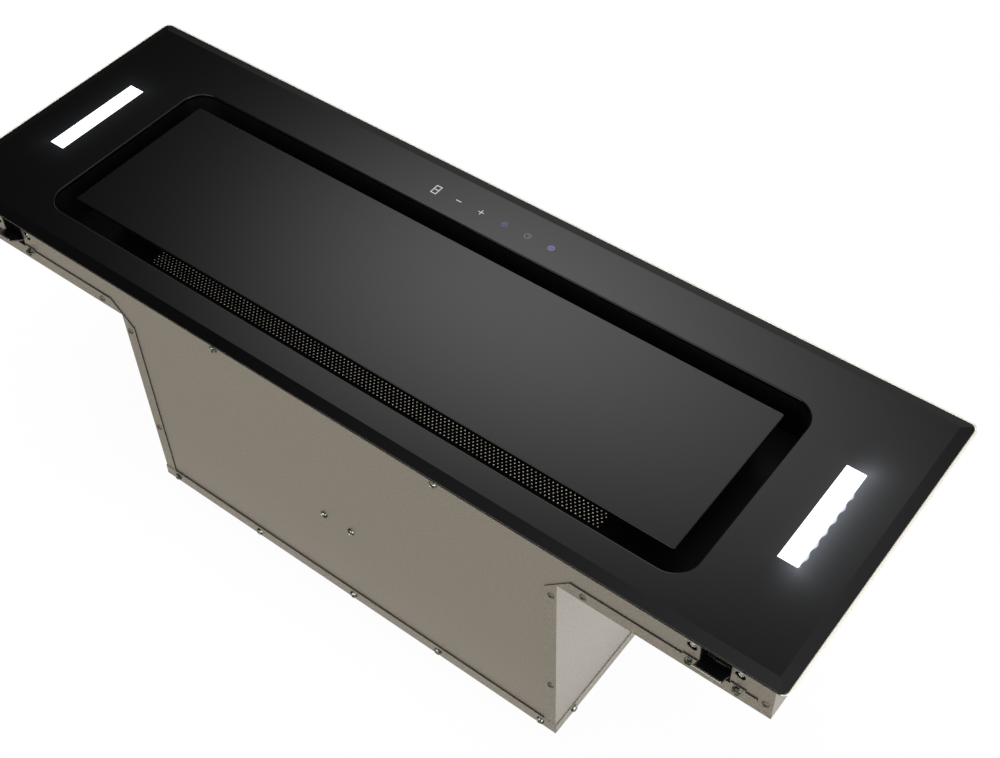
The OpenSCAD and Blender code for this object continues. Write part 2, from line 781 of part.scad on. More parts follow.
module clip_bracket() {
  y0 = sheet_y - sheet_t;
  low = pan_z + 7;
  high = pan_z + 46;
  difference() {
    union() {
      for (s = [-1, 1]) {
        translate([s * (cheek_x + cheek_t / 2), 0, 0]) cross_piece(-cheek_t / 2, cheek_t / 2)
          translate([-y0, low]) square([clip_depth, high - low]);
        translate([s > 0 ? cheek_x : -cheek_x - clip_foot_w, -y0, low]) cube([clip_foot_w, cheek_t, 10]);
        translate([s > 0 ? cheek_x : -cheek_x - clip_foot_w, -y0 + access_set, low + 16])
          cube([clip_foot_w, cheek_t, 16]);
      }
      translate([-cheek_x - EPS, -y0 + clip_depth - cheek_t, low]) cube([2 * cheek_x + 2 * EPS, cheek_t, high - low]);
    }
    translate([0, -pawl_y, pawl_z]) rotate([0, 90, 0]) cylinder(h = 2 * clip_screw_pitch, d = pawl_pin_d, center = true);
    for (s = [-1, 1]) {
      translate([s * clip_screw_pitch / 2, -y0 - 1, clip_screw_z]) rotate([-90, 0, 0])
        cylinder(h = 4, d = screw_d + 0.1);
      translate([s * clip_screw_pitch / 2, -y0 + access_set - 1, access_z]) rotate([-90, 0, 0])
        cylinder(h = 4, d = screw_d + 0.1);
    }
  }
}

module clip_brackets() {
  color([0.06, 0.06, 0.065])
  front_and_rear() left_and_right() translate([clip_x, 0, 0]) clip_bracket();
}

module clip_pins() {
  color([0.7, 0.7, 0.72])
  front_and_rear() left_and_right() translate([clip_x, -pawl_y, pawl_z]) rotate([0, 90, 0]) {
    cylinder(h = 2 * (cheek_x + cheek_t) + 0.4, d = pawl_pin_d, center = true);
    for (s = [-1, 1]) translate([0, 0, s * (cheek_x + cheek_t + 0.6)])
      cylinder(h = 1, d = pawl_pin_d + 2, center = true);
  }
}

module clip_screws() {
  color([0.75, 0.76, 0.78])
  front_and_rear() left_and_right() for (s = [-1, 1]) {
    x = clip_x + s * clip_screw_pitch / 2;
    on_front(x, clip_screw_z, front_y) {
      pan_screw(sheet_t + sheet_t + cheek_t);
      translate([0, 0, screw_head_h * 0.5]) cylinder(h = screw_head_h + 0.6, d = screw_head_d * 0.72, $fn = 6);
    }
    on_front(x, access_z, sheet_y - sheet_t - access_set) scale(0.8) pan_screw(2.5);
  }
}

// pawl: a knuckle on the pin and a sloping plate whose tip bears on the cabinet board
module pawl() {
  a = atan2(pawl_up, pawl_out);
  plate_l = norm([pawl_out, pawl_up]);
  translate([clip_x, 0, 0]) cross_piece(-pawl_w / 2, pawl_w / 2) difference() {
    union() {
      translate([-pawl_y, pawl_z]) circle(pawl_knuckle_r);
      translate([-pawl_y, pawl_z]) rotate(180 - a) translate([0, -pawl_t / 2]) square([plate_l - 2, pawl_t]);
      translate([-pawl_y, pawl_z]) rotate(180 - a) translate([plate_l - 3.5, -pawl_t / 2]) rotate(-35)
        square([3.5, pawl_t]);
    }
    translate([-pawl_y, pawl_z]) circle(d = pawl_pin_d + 2 * run_gap);
  }
}

// the pawl without the middle of its knuckle, where its spring sits
module sprung_pawl() {
  difference() {
    pawl();
    translate([clip_x, -pawl_y, pawl_z]) rotate([0, 90, 0])
      cylinder(h = spring_room, r = pawl_knuckle_r + move_gap, center = true);
  }
}

module pawl_front_right() {
  color([0.05, 0.05, 0.055]) sprung_pawl();
}

module pawl_front_left() {
  color([0.05, 0.05, 0.055]) mirror([1, 0, 0]) sprung_pawl();
}

module pawl_rear_right() {
  color([0.05, 0.05, 0.055]) mirror([0, 1, 0]) sprung_pawl();
}

module pawl_rear_left() {
  color([0.05, 0.05, 0.055]) mirror([1, 0, 0]) mirror([0, 1, 0]) sprung_pawl();
}

// lights

led_fit = 0.25;
led_board_z = glass_z - 12;

module led_lenses() {
  color([0.97, 0.98, 1])
  left_and_right() translate([led_x, 0, 0]) {
    translate([0, 0, glass_z - EPS]) linear_extrude(glass_t - 0.2)
      square([led_w - 2 * led_fit, led_l - 2 * led_fit], center = true);
    translate([0, 0, glass_z - 1.5]) linear_extrude(1.5)
      square([led_w + 6, led_l + 6], center = true);
  }
}

module led_boards() {
  color([0.9, 0.9, 0.88])
  left_and_right() translate([led_x, 0, led_board_z]) {
    linear_extrude(1.6) square([led_w, led_l + 2], center = true);
    for (i = [0:led_count - 1])
      translate([0, (i - (led_count - 1) / 2) * led_l / led_count, 1.6 + 0.6]) cube([3.5, 3.5, 1.2], center = true);
  }
}

module led_housings() {
  color([0.15, 0.15, 0.16])
  left_and_right() translate([led_x, 0, led_board_z - 1.6]) difference() {
    linear_extrude(glass_z - led_board_z + 1.6) square([led_w + 10, led_l + 10], center = true);
    translate([0, 0, 1.6]) linear_extrude(glass_z - led_board_z + 1.6) square([led_w + 2, led_l + 2], center = true);
    translate([0, 0, glass_z - led_board_z + 1.6 - 1.5]) linear_extrude(1.6 + 1.5)
      square([led_w + 6, led_l + 6], center = true);
  }
}

// touch control under the rear band of the glass

module touch_board() {
  color([0.1, 0.35, 0.2])
  translate([0, touch_y, glass_z - 3]) {
    linear_extrude(1.6) square([7.4 * touch_pitch, 23], center = true);
    for (i = [0:4]) translate([(i - 1.5) * touch_pitch, 0, 1.6]) cylinder(h = 1.4, d = 12);
  }
}

module digit_display() {
  color([0.12, 0.12, 0.12])
  translate([-2.5 * touch_pitch, touch_y, glass_z - 1.4]) linear_extrude(1.4)
    square([14, 18], center = true);
}

// electrics in the pan's ends

module control_box() {
  wall = 2;
  color([0.2, 0.2, 0.2])
  translate([-box_x - box_w, -box_l / 2, box_z]) difference() {
    cube([box_w, box_l, box_h - wall]);
    translate([wall, wall, wall]) cube([box_w - 2 * wall, box_l - 2 * wall, box_h]);
  }
}

module control_box_cover() {
  color([0.2, 0.2, 0.2])
  translate([-box_x - box_w, -box_l / 2, box_z + box_h - 2]) {
    cube([box_w, box_l, 2]);
    for (i = [0:6]) translate([10, 25 + i * 18, 2]) cube([box_w - 20, 5, 0.8]);
  }
}

module main_board() {
  color([0.1, 0.35, 0.2])
  translate([-box_x - box_w + 4, -box_l / 2 + 4, box_z + 6]) {
    cube([box_w - 8, board_l, 1.6]);
    translate([8, 12, 1.6]) cube([30, 28, 20]);
    translate([10, 54, 1.6]) cube([18, 26, 16]);
    translate([34, 96, 1.6]) cylinder(h = 18, d = 12);
    for (x = [8, box_w - 16], y = [8, board_l - 10]) translate([x - 2, y - 4, -4]) cylinder(h = 4, d = 5);
  }
}

module terminal_block() {
  color([0.9, 0.9, 0.86])
  translate([-box_x - box_w / 2 - 15, box_l / 2 - 36, box_z + 2]) difference() {
    cube([30, 20, 16]);
    for (i = [0:2]) translate([5 + i * 10, 10, 6]) cylinder(h = 20, d = 5);
  }
}

module led_driver() {
  color([0.9, 0.9, 0.9])
  translate([box_x + 8, -driver_l / 2, box_z]) {
    cube([driver_w, driver_l, driver_h]);
    for (y = [-8, driver_l]) translate([10, y, 0]) cube([driver_w - 20, 8, 3]);
  }
}

module cable_gland() {
  color([0.1, 0.1, 0.1])
  translate([-gland_x, sheet_y - sheet_t, gland_z]) rotate([-90, 0, 0]) difference() {
    union() {
      translate([0, 0, -8]) cylinder(h = 18, d = 16);
      translate([0, 0, sheet_t]) cylinder(h = 5, d = 22, $fn = 6);
      translate([0, 0, -6]) cylinder(h = 6, d = 22, $fn = 6);
      translate([0, 0, 6]) cylinder(h = 7, d = 18);
    }
    translate([0, 0, -9]) cylinder(h = 24, d = gland_bore_d);
  }
}

// blower

// radius of the scroll at an angle from its tongue's quarter, in degrees
function scroll_at(a) = scroll_r + scroll_growth * a / 270;

// outline of the scroll grown by w, in Y and Z, from the lowest point round the front to the exit
module scroll_outline(w) {
  step = 10;
  polygon(concat(
    [[tongue_y - w, exit_z - 2 + w]],
    [for (a = [0:step:270]) let (r = scroll_at(a) + w)
      [axis_y - r * sin(a), axis_z - r * cos(a)]],
    [[exit_outer_y + w, exit_z], [tongue_y - w, exit_z]]
  ));
}

module scroll_wrap() {
  color([0.62, 0.63, 0.64])
  union() {
    cross_piece(-scroll_w / 2, scroll_w / 2) difference() {
      scroll_outline(scroll_t);
      scroll_outline(0);
      translate([tongue_y, exit_z - 10]) square([exit_outer_y - tongue_y, 14]);
    }
    translate([-lug_w / 2, -sheet_y + sheet_t, lug_screw_z - lug_h / 2])
      cube([lug_w, blower_front_gap + 2 * scroll_t, lug_h]);
  }
}

module scroll_sides() {
  color([0.62, 0.63, 0.64])
  left_and_right() cross_piece(scroll_w / 2, scroll_w / 2 + scroll_t) difference() {
    scroll_outline(scroll_t);
    translate([axis_y, axis_z]) circle(inlet_r + 6);
  }
}

// bell-mouth rings that fill the side plates' holes
module inlet_rings() {
  color([0.62, 0.63, 0.64])
  left_and_right() translate([scroll_w / 2 - 4, axis_y, axis_z]) rotate([0, 90, 0]) rotate_extrude()
    difference() {
      translate([inlet_r, 0]) square([6, 4 + scroll_t]);
      translate([inlet_r, 4 + scroll_t]) circle(3.5);
    }
}

module blower_bracket() {
  gap_y = sheet_y - sheet_t - exit_outer_y - scroll_t;
  fold_t = 1.5;
  color([0.6, 0.6, 0.6])
  difference() {
    translate([-lug_w / 2, exit_outer_y + scroll_t, lug_screw_z - lug_h / 2]) cube([lug_w, gap_y, lug_h]);
    translate([-lug_w / 2 - 1, exit_outer_y + scroll_t + fold_t, lug_screw_z - lug_h / 2 - 1])
      cube([lug_w + 2, gap_y - 2 * fold_t, lug_h - fold_t + 1]);
  }
}

// forward-curved blade, in the plane across the axis
module blade() {
  blade_r = 9;
  translate([blade_in_r + 5, 5]) intersection() {
    difference() {
      circle(blade_r);
      circle(blade_r - 1);
    }
    translate([-6, -12]) square([13, 12]);
  }
}

module impeller() {
  half = impeller_w / 2;
  color([0.15, 0.15, 0.16])
  translate([0, axis_y, axis_z]) rotate([0, 90, 0]) difference() {
    union() {
      translate([0, 0, -half]) linear_extrude(impeller_w) intersection() {
        union() for (i = [0:blade_count - 1]) rotate(i * 360 / blade_count) blade();
        difference() {
          circle(impeller_r);
          circle(blade_in_r);
        }
      }
      for (z = [-half, half - 3]) translate([0, 0, z]) difference() {
        cylinder(h = 3, r = impeller_r);
        translate([0, 0, -1]) cylinder(h = 5, r = blade_in_r);
      }
      translate([0, 0, -1]) cylinder(h = 2, r = impeller_r);
      translate([0, 0, -14]) cylinder(h = 15, r = hub_r);
    }
    translate([0, 0, -half]) cylinder(h = impeller_w, d = shaft_d + 0.04);
  }
}

module motor_shaft() {
  color([0.8, 0.8, 0.82])
  translate([-16, axis_y, axis_z]) rotate([0, 90, 0]) cylinder(h = motor_x + motor_l + 12, d = shaft_d);
}

module motor() {
  color([0.25, 0.25, 0.27])
  translate([motor_x, axis_y, axis_z]) rotate([0, 90, 0]) difference() {
    union() {
      rotate_extrude() polygon([
        [0, 0], [motor_r * 0.55, 0], [motor_r * 0.9, 5], [motor_r, 12],
        [motor_r, motor_l - 6], [motor_r * 0.9, motor_l - 2], [motor_r * 0.55, motor_l], [0, motor_l]
      ]);
      for (i = [0:7]) rotate(i * 45) translate([motor_r - 1.5, -1.5, 14])
        cube([3, 3, scroll_w / 2 + scroll_t - motor_x - 16]);
    }
    translate([0, 0, -1]) cylinder(h = motor_l + 2, d = shaft_d + 2 * run_gap);
  }
}

// three arms from the motor to the inlet's side plate
module motor_bracket() {
  x0 = scroll_w / 2 + scroll_t;
  reach = inlet_r + 14;
  color([0.6, 0.6, 0.6])
  translate([x0, axis_y, axis_z]) rotate([0, 90, 0]) union() {
    difference() {
      cylinder(h = 4, r = motor_r + 3);
      translate([0, 0, -1]) cylinder(h = 6, r = motor_r + 0.1);
    }
    for (a = [90, 210, 330]) rotate(a) translate([motor_r + 2, -6, 0]) cube([reach - motor_r - 2, 12, 2]);
  }
}

module capacitor() {
  cap_r = capacitor_d / 2;
  strap_z = capacitor_h * 0.35;
  strap_h = 14;
  color([0.85, 0.85, 0.83])
  translate([-housing_x + capacitor_side, -sheet_y + capacitor_front, lid_z + sheet_t]) {
    cylinder(h = capacitor_h, r = cap_r);
    translate([0, 0, capacitor_h]) cylinder(h = 4, r = cap_r - 3);
    for (s = [-1, 1]) translate([s * cap_r / 3 - 0.4, -3, capacitor_h + 4]) cube([0.8, 6, 8]);
    difference() {
      translate([-cap_r - 2, 0, strap_z]) cube([capacitor_d + 4, cap_r + 10, strap_h]);
      translate([0, 0, strap_z - 1]) cylinder(h = strap_h + 2, r = cap_r);
    }
    translate([-cap_r - 2, cap_r + 9, 0]) cube([capacitor_d + 4, 1.2, strap_z + strap_h]);
  }
}

// outlet

module outlet_transition() {
  color([0.3, 0.3, 0.3])
  difference() {
    hull() {
      translate([-scroll_w / 2 - scroll_t, tongue_y - scroll_t, exit_z - 2])
        cube([scroll_w + 2 * scroll_t, exit_outer_y - tongue_y + 2 * scroll_t, 2 - EPS]);
      translate([0, spigot_y, transition_z]) cylinder(h = 0.5, r = throat_r + 1.5, $fn = 32);
    }
    hull() {
      translate([-scroll_w / 2, tongue_y, exit_z - 2])
        cube([scroll_w, exit_outer_y - tongue_y, 3]);
      translate([0, spigot_y, transition_z - 1]) cylinder(h = 0.5, r = throat_r, $fn = 32);
    }
  }
}

module duct_spigot() {
  lip = 1.2;
  color([0.12, 0.12, 0.13])
  translate([0, spigot_y, 0]) difference() {
    union() {
      cylinder(h = lid_z + spigot_in, r = spigot_r);
      translate([0, 0, lid_z - 3]) cylinder(h = 3, r = spigot_r + spigot_flange_w);
    }
    difference() {
      translate([0, 0, -1]) cylinder(h = lid_z + spigot_in + 2, r = throat_r);
      translate([0, 0, flap_z + flap_knuckle_r + move_gap]) difference() {
        cylinder(h = 1.5, r = throat_r + 1);
        translate([0, 0, -1]) cylinder(h = 4, r = throat_r - 4);
      }
    }
    for (a = [45:90:315]) rotate(a) translate([spigot_r + spigot_flange_w / 2 + 1, 0, lid_z - 4])
      cylinder(h = 5, d = screw_d + 0.4);
    translate([0, 0, flap_z]) rotate([0, 90, 0])
      cylinder(h = 2 * spigot_r - 2 * lip, d = flap_pin_d, center = true);
  }
}

module spigot_screws() {
  color([0.75, 0.76, 0.78])
  for (a = [45:90:315]) translate([0, spigot_y, lid_z - 3]) rotate(a)
    translate([spigot_r + spigot_flange_w / 2 + 1, 0, 0]) mirror([0, 0, 1]) pan_screw(5);
}

module flap_pin() {
  color([0.75, 0.75, 0.77])
  translate([0, spigot_y, flap_z]) rotate([0, 90, 0])
    cylinder(h = 2 * (spigot_r - 1.4), d = flap_pin_d, center = true);
}

// half disc with two knuckles on the pin
module backdraft_flap(side) {
  knuckle_r = flap_knuckle_r;
  knuckle_l = 14;
  starts = side < 0 ? [-60, 20] : [-40, 40];
  translate([0, spigot_y, flap_z]) difference() {
    union() {
      translate([0, 0, knuckle_r - flap_t]) linear_extrude(flap_t) intersection() {
        circle(flap_r);
        translate([-flap_r, side < 0 ? -flap_r - flap_offset : flap_offset]) square([2 * flap_r, flap_r]);
      }
      for (x = starts) translate([x, 0, 0]) rotate([0, 90, 0]) cylinder(h = knuckle_l, r = knuckle_r);
      for (x = starts) translate([x, side < 0 ? -flap_offset - 3 : 0, knuckle_r - flap_t])
        cube([knuckle_l, flap_offset + 3, flap_t]);
    }
    rotate([0, 90, 0]) cylinder(h = 3 * flap_r, d = flap_pin_d + 2 * run_gap, center = true);
  }
}

module backdraft_flap_front() {
  color([0.12, 0.12, 0.13]) backdraft_flap(-1);
}

module backdraft_flap_rear() {
  color([0.12, 0.12, 0.13]) backdraft_flap(1);
}

fascia_glass();
fascia_tray();
recess_wall();
recess_floor();
recess_straps();
panel_glass();
panel_tray();
panel_hinge_arms();
panel_hinge_brackets();
panel_hinge_pins();
panel_posts();
panel_magnets();
panel_strikes();
filter_frame();
filter_face();
filter_mesh();
filter_handle();
filter_rails();
front_sheet();
rear_sheet();
side_wrap_left();
side_wrap_right();
end_lid();
lid_screws();
sheet_screws();
sheet_rivets();
clip_brackets();
clip_pins();
clip_screws();
pawl_front_left();
pawl_front_right();
pawl_rear_left();
pawl_rear_right();
led_lenses();
led_boards();
led_housings();
touch_board();
digit_display();
control_box();
control_box_cover();
main_board();
terminal_block();
led_driver();
cable_gland();
scroll_wrap();
scroll_sides();
inlet_rings();
blower_bracket();
impeller();
motor_shaft();
motor();
motor_bracket();
capacitor();
outlet_transition();
duct_spigot();
spigot_screws();
flap_pin();
backdraft_flap_front();
backdraft_flap_rear();
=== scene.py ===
import math

import bmesh
import bpy
from mathutils import Matrix, Vector


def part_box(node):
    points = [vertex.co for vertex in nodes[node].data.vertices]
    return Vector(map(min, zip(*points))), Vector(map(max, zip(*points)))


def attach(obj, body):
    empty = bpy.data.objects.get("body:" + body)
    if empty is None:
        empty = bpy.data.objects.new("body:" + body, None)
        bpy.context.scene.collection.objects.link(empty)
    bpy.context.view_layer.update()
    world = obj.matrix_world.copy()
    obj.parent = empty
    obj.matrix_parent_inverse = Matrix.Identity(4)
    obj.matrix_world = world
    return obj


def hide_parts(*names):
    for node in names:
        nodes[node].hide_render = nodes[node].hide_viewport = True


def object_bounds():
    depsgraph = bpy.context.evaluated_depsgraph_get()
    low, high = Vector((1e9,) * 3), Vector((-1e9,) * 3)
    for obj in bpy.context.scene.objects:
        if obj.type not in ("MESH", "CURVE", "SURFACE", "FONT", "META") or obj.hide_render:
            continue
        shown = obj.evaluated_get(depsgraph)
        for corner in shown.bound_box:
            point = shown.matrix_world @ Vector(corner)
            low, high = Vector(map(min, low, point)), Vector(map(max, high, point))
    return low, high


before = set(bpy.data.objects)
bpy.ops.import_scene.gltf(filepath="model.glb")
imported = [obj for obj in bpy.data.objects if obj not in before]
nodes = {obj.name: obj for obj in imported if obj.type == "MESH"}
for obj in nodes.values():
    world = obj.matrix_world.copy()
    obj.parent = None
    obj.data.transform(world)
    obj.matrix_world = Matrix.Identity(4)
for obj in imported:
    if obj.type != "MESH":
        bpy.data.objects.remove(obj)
cad_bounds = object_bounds()

# The view
# A camera over the hood's right front corner, looking down on the glass, which faces up. Its
# axes and lens are those of a small product studio, with the frame shifted a little.

lens = bpy.data.cameras.new("view")
lens.sensor_width = 36
lens.lens = 55.02
lens.shift_x = 0.00845
lens.shift_y = -0.02955
camera = bpy.data.objects.new("view", lens)
sight = Vector((-0.42388, 0.51726, -0.74348)).normalized()
across = Vector((0.79174, 0.61027, -0.02681))
across = (across - across.dot(sight) * sight).normalized()
camera.matrix_world = Matrix.Translation((0.628785, -0.665783, 1.290381)) @ Matrix(
    (across, across.cross(sight), -sight)).transposed().to_4x4()
bpy.context.collection.objects.link(camera)
bpy.context.scene.camera = camera
bpy.context.scene.view_settings.view_transform = "Standard"

# The studio
# A white paper sweep on which the hood stands, with one oval soft lamp behind it that the
# black glass mirrors, and large soft panels in front, at the right and above.


def linear(code):
    """The linear values of an sRGB colour that is written as a hex code."""
    parts = [int(code[i:i + 2], 16) / 255 for i in (1, 3, 5)]
    return [p / 12.92 if p <= 0.04045 else ((p + 0.055) / 1.055) ** 2.4 for p in parts] + [1]


def add(tree, kind, inputs=None, **settings):
    """Adds a node with its settings, and links or sets its inputs."""
    node = tree.nodes.new(kind)
    for name, value in settings.items():
        setattr(node, name, value)
    for name, value in (inputs or {}).items():
        if isinstance(value, bpy.types.NodeSocket):
            tree.links.new(value, node.inputs[name])
        else:
            node.inputs[name].default_value = value
    return node


def material(name, build):
    """A material of that name whose shader is what build returns."""
    made = bpy.data.materials.new(name)
    made.use_nodes = True
    made.node_tree.nodes.clear()
    add(made.node_tree, "ShaderNodeOutputMaterial", {"Surface": build(made.node_tree)})
    return made


def seen(tree):
    """1 for what the camera sees straight, in a mirror or through glass."""
    rays = add(tree, "ShaderNodeLightPath").outputs
    two = add(tree, "ShaderNodeMath", {0: rays["Is Camera Ray"], 1: rays["Is Glossy Ray"]},
              operation="MAXIMUM").outputs[0]
    return add(tree, "ShaderNodeMath", {0: two, 1: rays["Is Transmission Ray"]},
               operation="MAXIMUM").outputs[0]


def white_paper_painted_shade(tree):
    # matt seamless paper, mostly glowing white to the eye, so that only a faint shadow shows. What
    # metal mirrors of it carries painted shade: warmer and darker in front of the hood and behind
    # it.
    paper = add(tree, "ShaderNodeBsdfDiffuse", {
        "Color": linear("#f4f4f4"), "Roughness": 1}).outputs[0]
    spot = add(tree, "ShaderNodeNewGeometry").outputs["Position"]
    spot = add(tree, "ShaderNodeSeparateXYZ", {0: spot}).outputs
    bands = []
    for axis, start, end, first, last in (
            ("Y", -0.2, -0.04, 0, 1), ("Y", -0.08, 0.2, 0, 1), ("X", 0.235, 0.3, 0, 1),
            ("X", 0.44, 0.54, 1, 0), ("Y", -0.18, -0.1, 0, 1)):
        bands.append(add(tree, "ShaderNodeMapRange", {
            "Value": spot[axis], "From Min": start, "From Max": end, "To Min": first,
            "To Max": last}, interpolation_type="SMOOTHSTEP").outputs[0])
    near, behind, painted_shadow_edge, before, back = bands
    # a painted shadow of the housing on the paper at its right, with a painted pale band past it
    beside = add(tree, "ShaderNodeMix", {0: painted_shadow_edge, 6: linear("#7a766d"), 7: linear("#ffffff")},
                 data_type="RGBA").outputs[2]
    painted_shadow_zone = add(tree, "ShaderNodeMath", {0: spot["X"], 1: 0.24},
               operation="GREATER_THAN").outputs[0]
    for edge in (back, before):
        painted_shadow_zone = add(tree, "ShaderNodeMath", {0: painted_shadow_zone, 1: edge}, operation="MULTIPLY").outputs[0]
    tone = add(tree, "ShaderNodeMix", {0: near, 6: linear("#aaa49b"), 7: linear("#ffffff")},
               data_type="RGBA").outputs[2]
    for share, colour in ((behind, linear("#b4afa5")), (painted_shadow_zone, beside)):
        tone = add(tree, "ShaderNodeMix", {0: share, 6: tone, 7: colour},
                   data_type="RGBA").outputs[2]
    # glossy rays see the painted shade tone, all other rays plain white
    shiny = add(tree, "ShaderNodeLightPath").outputs["Is Glossy Ray"]
    tone = add(tree, "ShaderNodeMix", {0: shiny, 6: linear("#ffffff"), 7: tone},
               data_type="RGBA").outputs[2]
    glow = add(tree, "ShaderNodeEmission", {"Color": tone, "Strength": 1}).outputs[0]
    share = add(tree, "ShaderNodeMath", {0: seen(tree), 1: 0.955},
                operation="MULTIPLY").outputs[0]
    return add(tree, "ShaderNodeMixShader", {0: share, 1: paper, 2: glow}).outputs[0]


def flat_mesh(name, corners, faces):
    """An object with its place in its mesh."""
    data = bpy.data.meshes.new(name)
    data.from_pydata(corners, [], faces)
    piece = bpy.data.objects.new(name, data)
    bpy.context.collection.objects.link(piece)
    return piece


reach = 9
sweep = flat_mesh("paper_sweep", [(-reach, -reach, 0), (reach, -reach, 0), (reach, reach, 0),
                                  (-reach, reach, 0)], [(0, 1, 2, 3)])
sweep.data.materials.append(material("white_paper_painted_shade", white_paper_painted_shade))

world = bpy.data.worlds.new("studio")
world.use_nodes = True
bpy.context.scene.world = world
sky = world.node_tree
sky.nodes.clear()
toward = add(sky, "ShaderNodeTexCoord").outputs["Generated"]
# the oval lamp: where it hangs, how sharply it fades along its own three axes, and its peak
offset = add(sky, "ShaderNodeVectorMath", {0: toward, 1: (0.2771, -0.4832, -0.7406)}).outputs[0]
far = 0
for own_axis in ((6.158, -2.588, -9.849), (0, 9.567, 6.719), (0, 0, 12.822)):
    out = add(sky, "ShaderNodeVectorMath", {0: offset, 1: own_axis},
              operation="DOT_PRODUCT").outputs["Value"]
    far = add(sky, "ShaderNodeMath", {0: out, 1: out, 2: far}, operation="MULTIPLY_ADD").outputs[0]
fade = add(sky, "ShaderNodeMath", {0: far, 1: -1}, operation="MULTIPLY").outputs[0]
fade = add(sky, "ShaderNodeMath", {0: fade}, operation="EXPONENT").outputs[0]
lamp = add(sky, "ShaderNodeMath", {0: fade, 1: 5.5}, operation="MULTIPLY").outputs[0]
# the room: pale near the floor, dimmer above and most of all at the left, with two faint glows
# overhead, one towards the right and one ahead
view = add(sky, "ShaderNodeSeparateXYZ", {0: toward}).outputs
overhead = [add(sky, "ShaderNodeVectorMath", {0: toward, 1: middle},
                operation="DOT_PRODUCT").outputs["Value"]
            for middle in ((0.5, 0, 0.87), (0.3, -0.35, 0.89))]
parts = []
for value, start, end, first, last in (
        (view["Z"], 0.02, 0.16, 1, 0), (view["Z"], 0.12, 0.5, 0.9, 0),
        (view["X"], -0.75, -0.3, 0, 1), (overhead[0], 0.62, 0.84, 0, 0.38),
        (overhead[1], 0.55, 0.8, 0, 0.24)):
    parts.append(add(sky, "ShaderNodeMapRange", {
        "Value": value, "From Min": start, "From Max": end, "To Min": first, "To Max": last},
        interpolation_type="SMOOTHSTEP").outputs[0])
low, high, right, glowing, ahead = parts
room = add(sky, "ShaderNodeMath", {0: high, 1: right, 2: 0.04},
           operation="MULTIPLY_ADD").outputs[0]
for one in (low, glowing, ahead, lamp):
    room = add(sky, "ShaderNodeMath", {0: one, 1: room}).outputs[0]
straight = add(sky, "ShaderNodeLightPath").outputs["Is Camera Ray"]
level = add(sky, "ShaderNodeMix", {0: straight, 2: room, 3: 1.0}).outputs[0]
add(sky, "ShaderNodeOutputWorld", {"Surface": add(sky, "ShaderNodeBackground", {
    "Color": linear("#ffffff"), "Strength": level}).outputs[0]})

for name, place, size, watts in (("front_panel", (-0.6, -3.0, 2.2), 2.4, 42),
                                 ("right_panel", (3.0, -0.6, 1.6), 2.0, 40),
                                 ("top_panel", (0.2, 0.2, 3.4), 2.6, 75)):
    glow = bpy.data.lights.new(name, "AREA")
    glow.size = size
    glow.energy = watts
    holder = bpy.data.objects.new(name, glow)
    holder.location = place
    aim = Vector((0, 0, 0.2)) - Vector(place)
    holder.rotation_euler = aim.to_track_quat("-Z", "Y").to_euler()
    holder.visible_glossy = name != "top_panel"
    bpy.context.collection.objects.link(holder)

# The duct outlet
# A collar of black polypropylene, injection moulded, screwed under the lid, with two moulded
# flaps on one steel pin that the air pushes open, and a square-to-round piece above it.


def uneven(tree, grain, low, high, detail=2):
    """A noise whose grains have that size on the piece, and a value that follows it."""
    place = add(tree, "ShaderNodeTexCoord").outputs["Object"]
    noise = add(tree, "ShaderNodeTexNoise", {
        "Vector": place, "Scale": 1 / grain, "Detail": detail}).outputs[0]
    value = add(tree, "ShaderNodeMapRange", {"Value": noise, "To Min": low, "To Max": high})
    return noise, value.outputs[0]


def moulded_black(tree):
    # polypropylene and ABS with a fine spark-eroded texture: it scatters light, so no clear mirror
    grain, rough = uneven(tree, 0.0011, 0.42, 0.6, 3)
    bump = add(tree, "ShaderNodeBump", {
        "Height": grain, "Distance": 0.00006, "Strength": 0.6}).outputs[0]
    return add(tree, "ShaderNodeBsdfPrincipled", {
        "Base Color": linear("#1b1b1d"), "Roughness": rough, "IOR": 1.49,
        "Normal": bump}).outputs[0]


def galvanised(tree):
    # hot-dip zinc on steel, whose crystals, 6 to 12 mm across, mirror a little more or less light
    place = add(tree, "ShaderNodeTexCoord").outputs["Object"]
    crystal = add(tree, "ShaderNodeTexVoronoi", {
        "Vector": place, "Scale": 1 / 0.009}).outputs["Color"]
    tone = add(tree, "ShaderNodeSeparateColor", {0: crystal}).outputs[0]
    rough = add(tree, "ShaderNodeMapRange", {
        "Value": tone, "To Min": 0.3, "To Max": 0.5}).outputs[0]
    base = add(tree, "ShaderNodeMix", {0: tone, 6: linear("#a9acae"), 7: linear("#c3c6c7")},
               data_type="RGBA").outputs[2]
    return add(tree, "ShaderNodeBsdfPrincipled", {
        "Base Color": base, "Metallic": 1, "Roughness": rough}).outputs[0]


def bright_zinc(tree):
    # zinc-plated and blue-passivated steel, as on screws and pins, with a drawn or rolled surface
    haze, rough = uneven(tree, 0.002, 0.12, 0.26)
    base = add(tree, "ShaderNodeMix", {0: haze, 6: linear("#b4b4ad"), 7: linear("#dededa")},
               data_type="RGBA").outputs[2]
    return add(tree, "ShaderNodeBsdfPrincipled", {
        "Base Color": base, "Metallic": 1, "Roughness": rough}).outputs[0]


def coat(material_made, *names):
    """Gives CAD pieces that are shown as they are their material."""
    for name in names:
        for place in nodes[name].material_slots:
            place.material = material_made


moulded = material("moulded_polypropylene", moulded_black)
plated = material("zinc_plated_steel", bright_zinc)
coat(moulded, "duct_spigot", "backdraft_flap_front", "backdraft_flap_rear", "outlet_transition")
coat(plated, "flap_pin")

# The body
# A T-shaped box of 1 mm stainless steel with a fine matt rolled grain: a front and a rear
# sheet, a folded wrap at each end that laps them, and a galvanised lid. All edges are sheared.


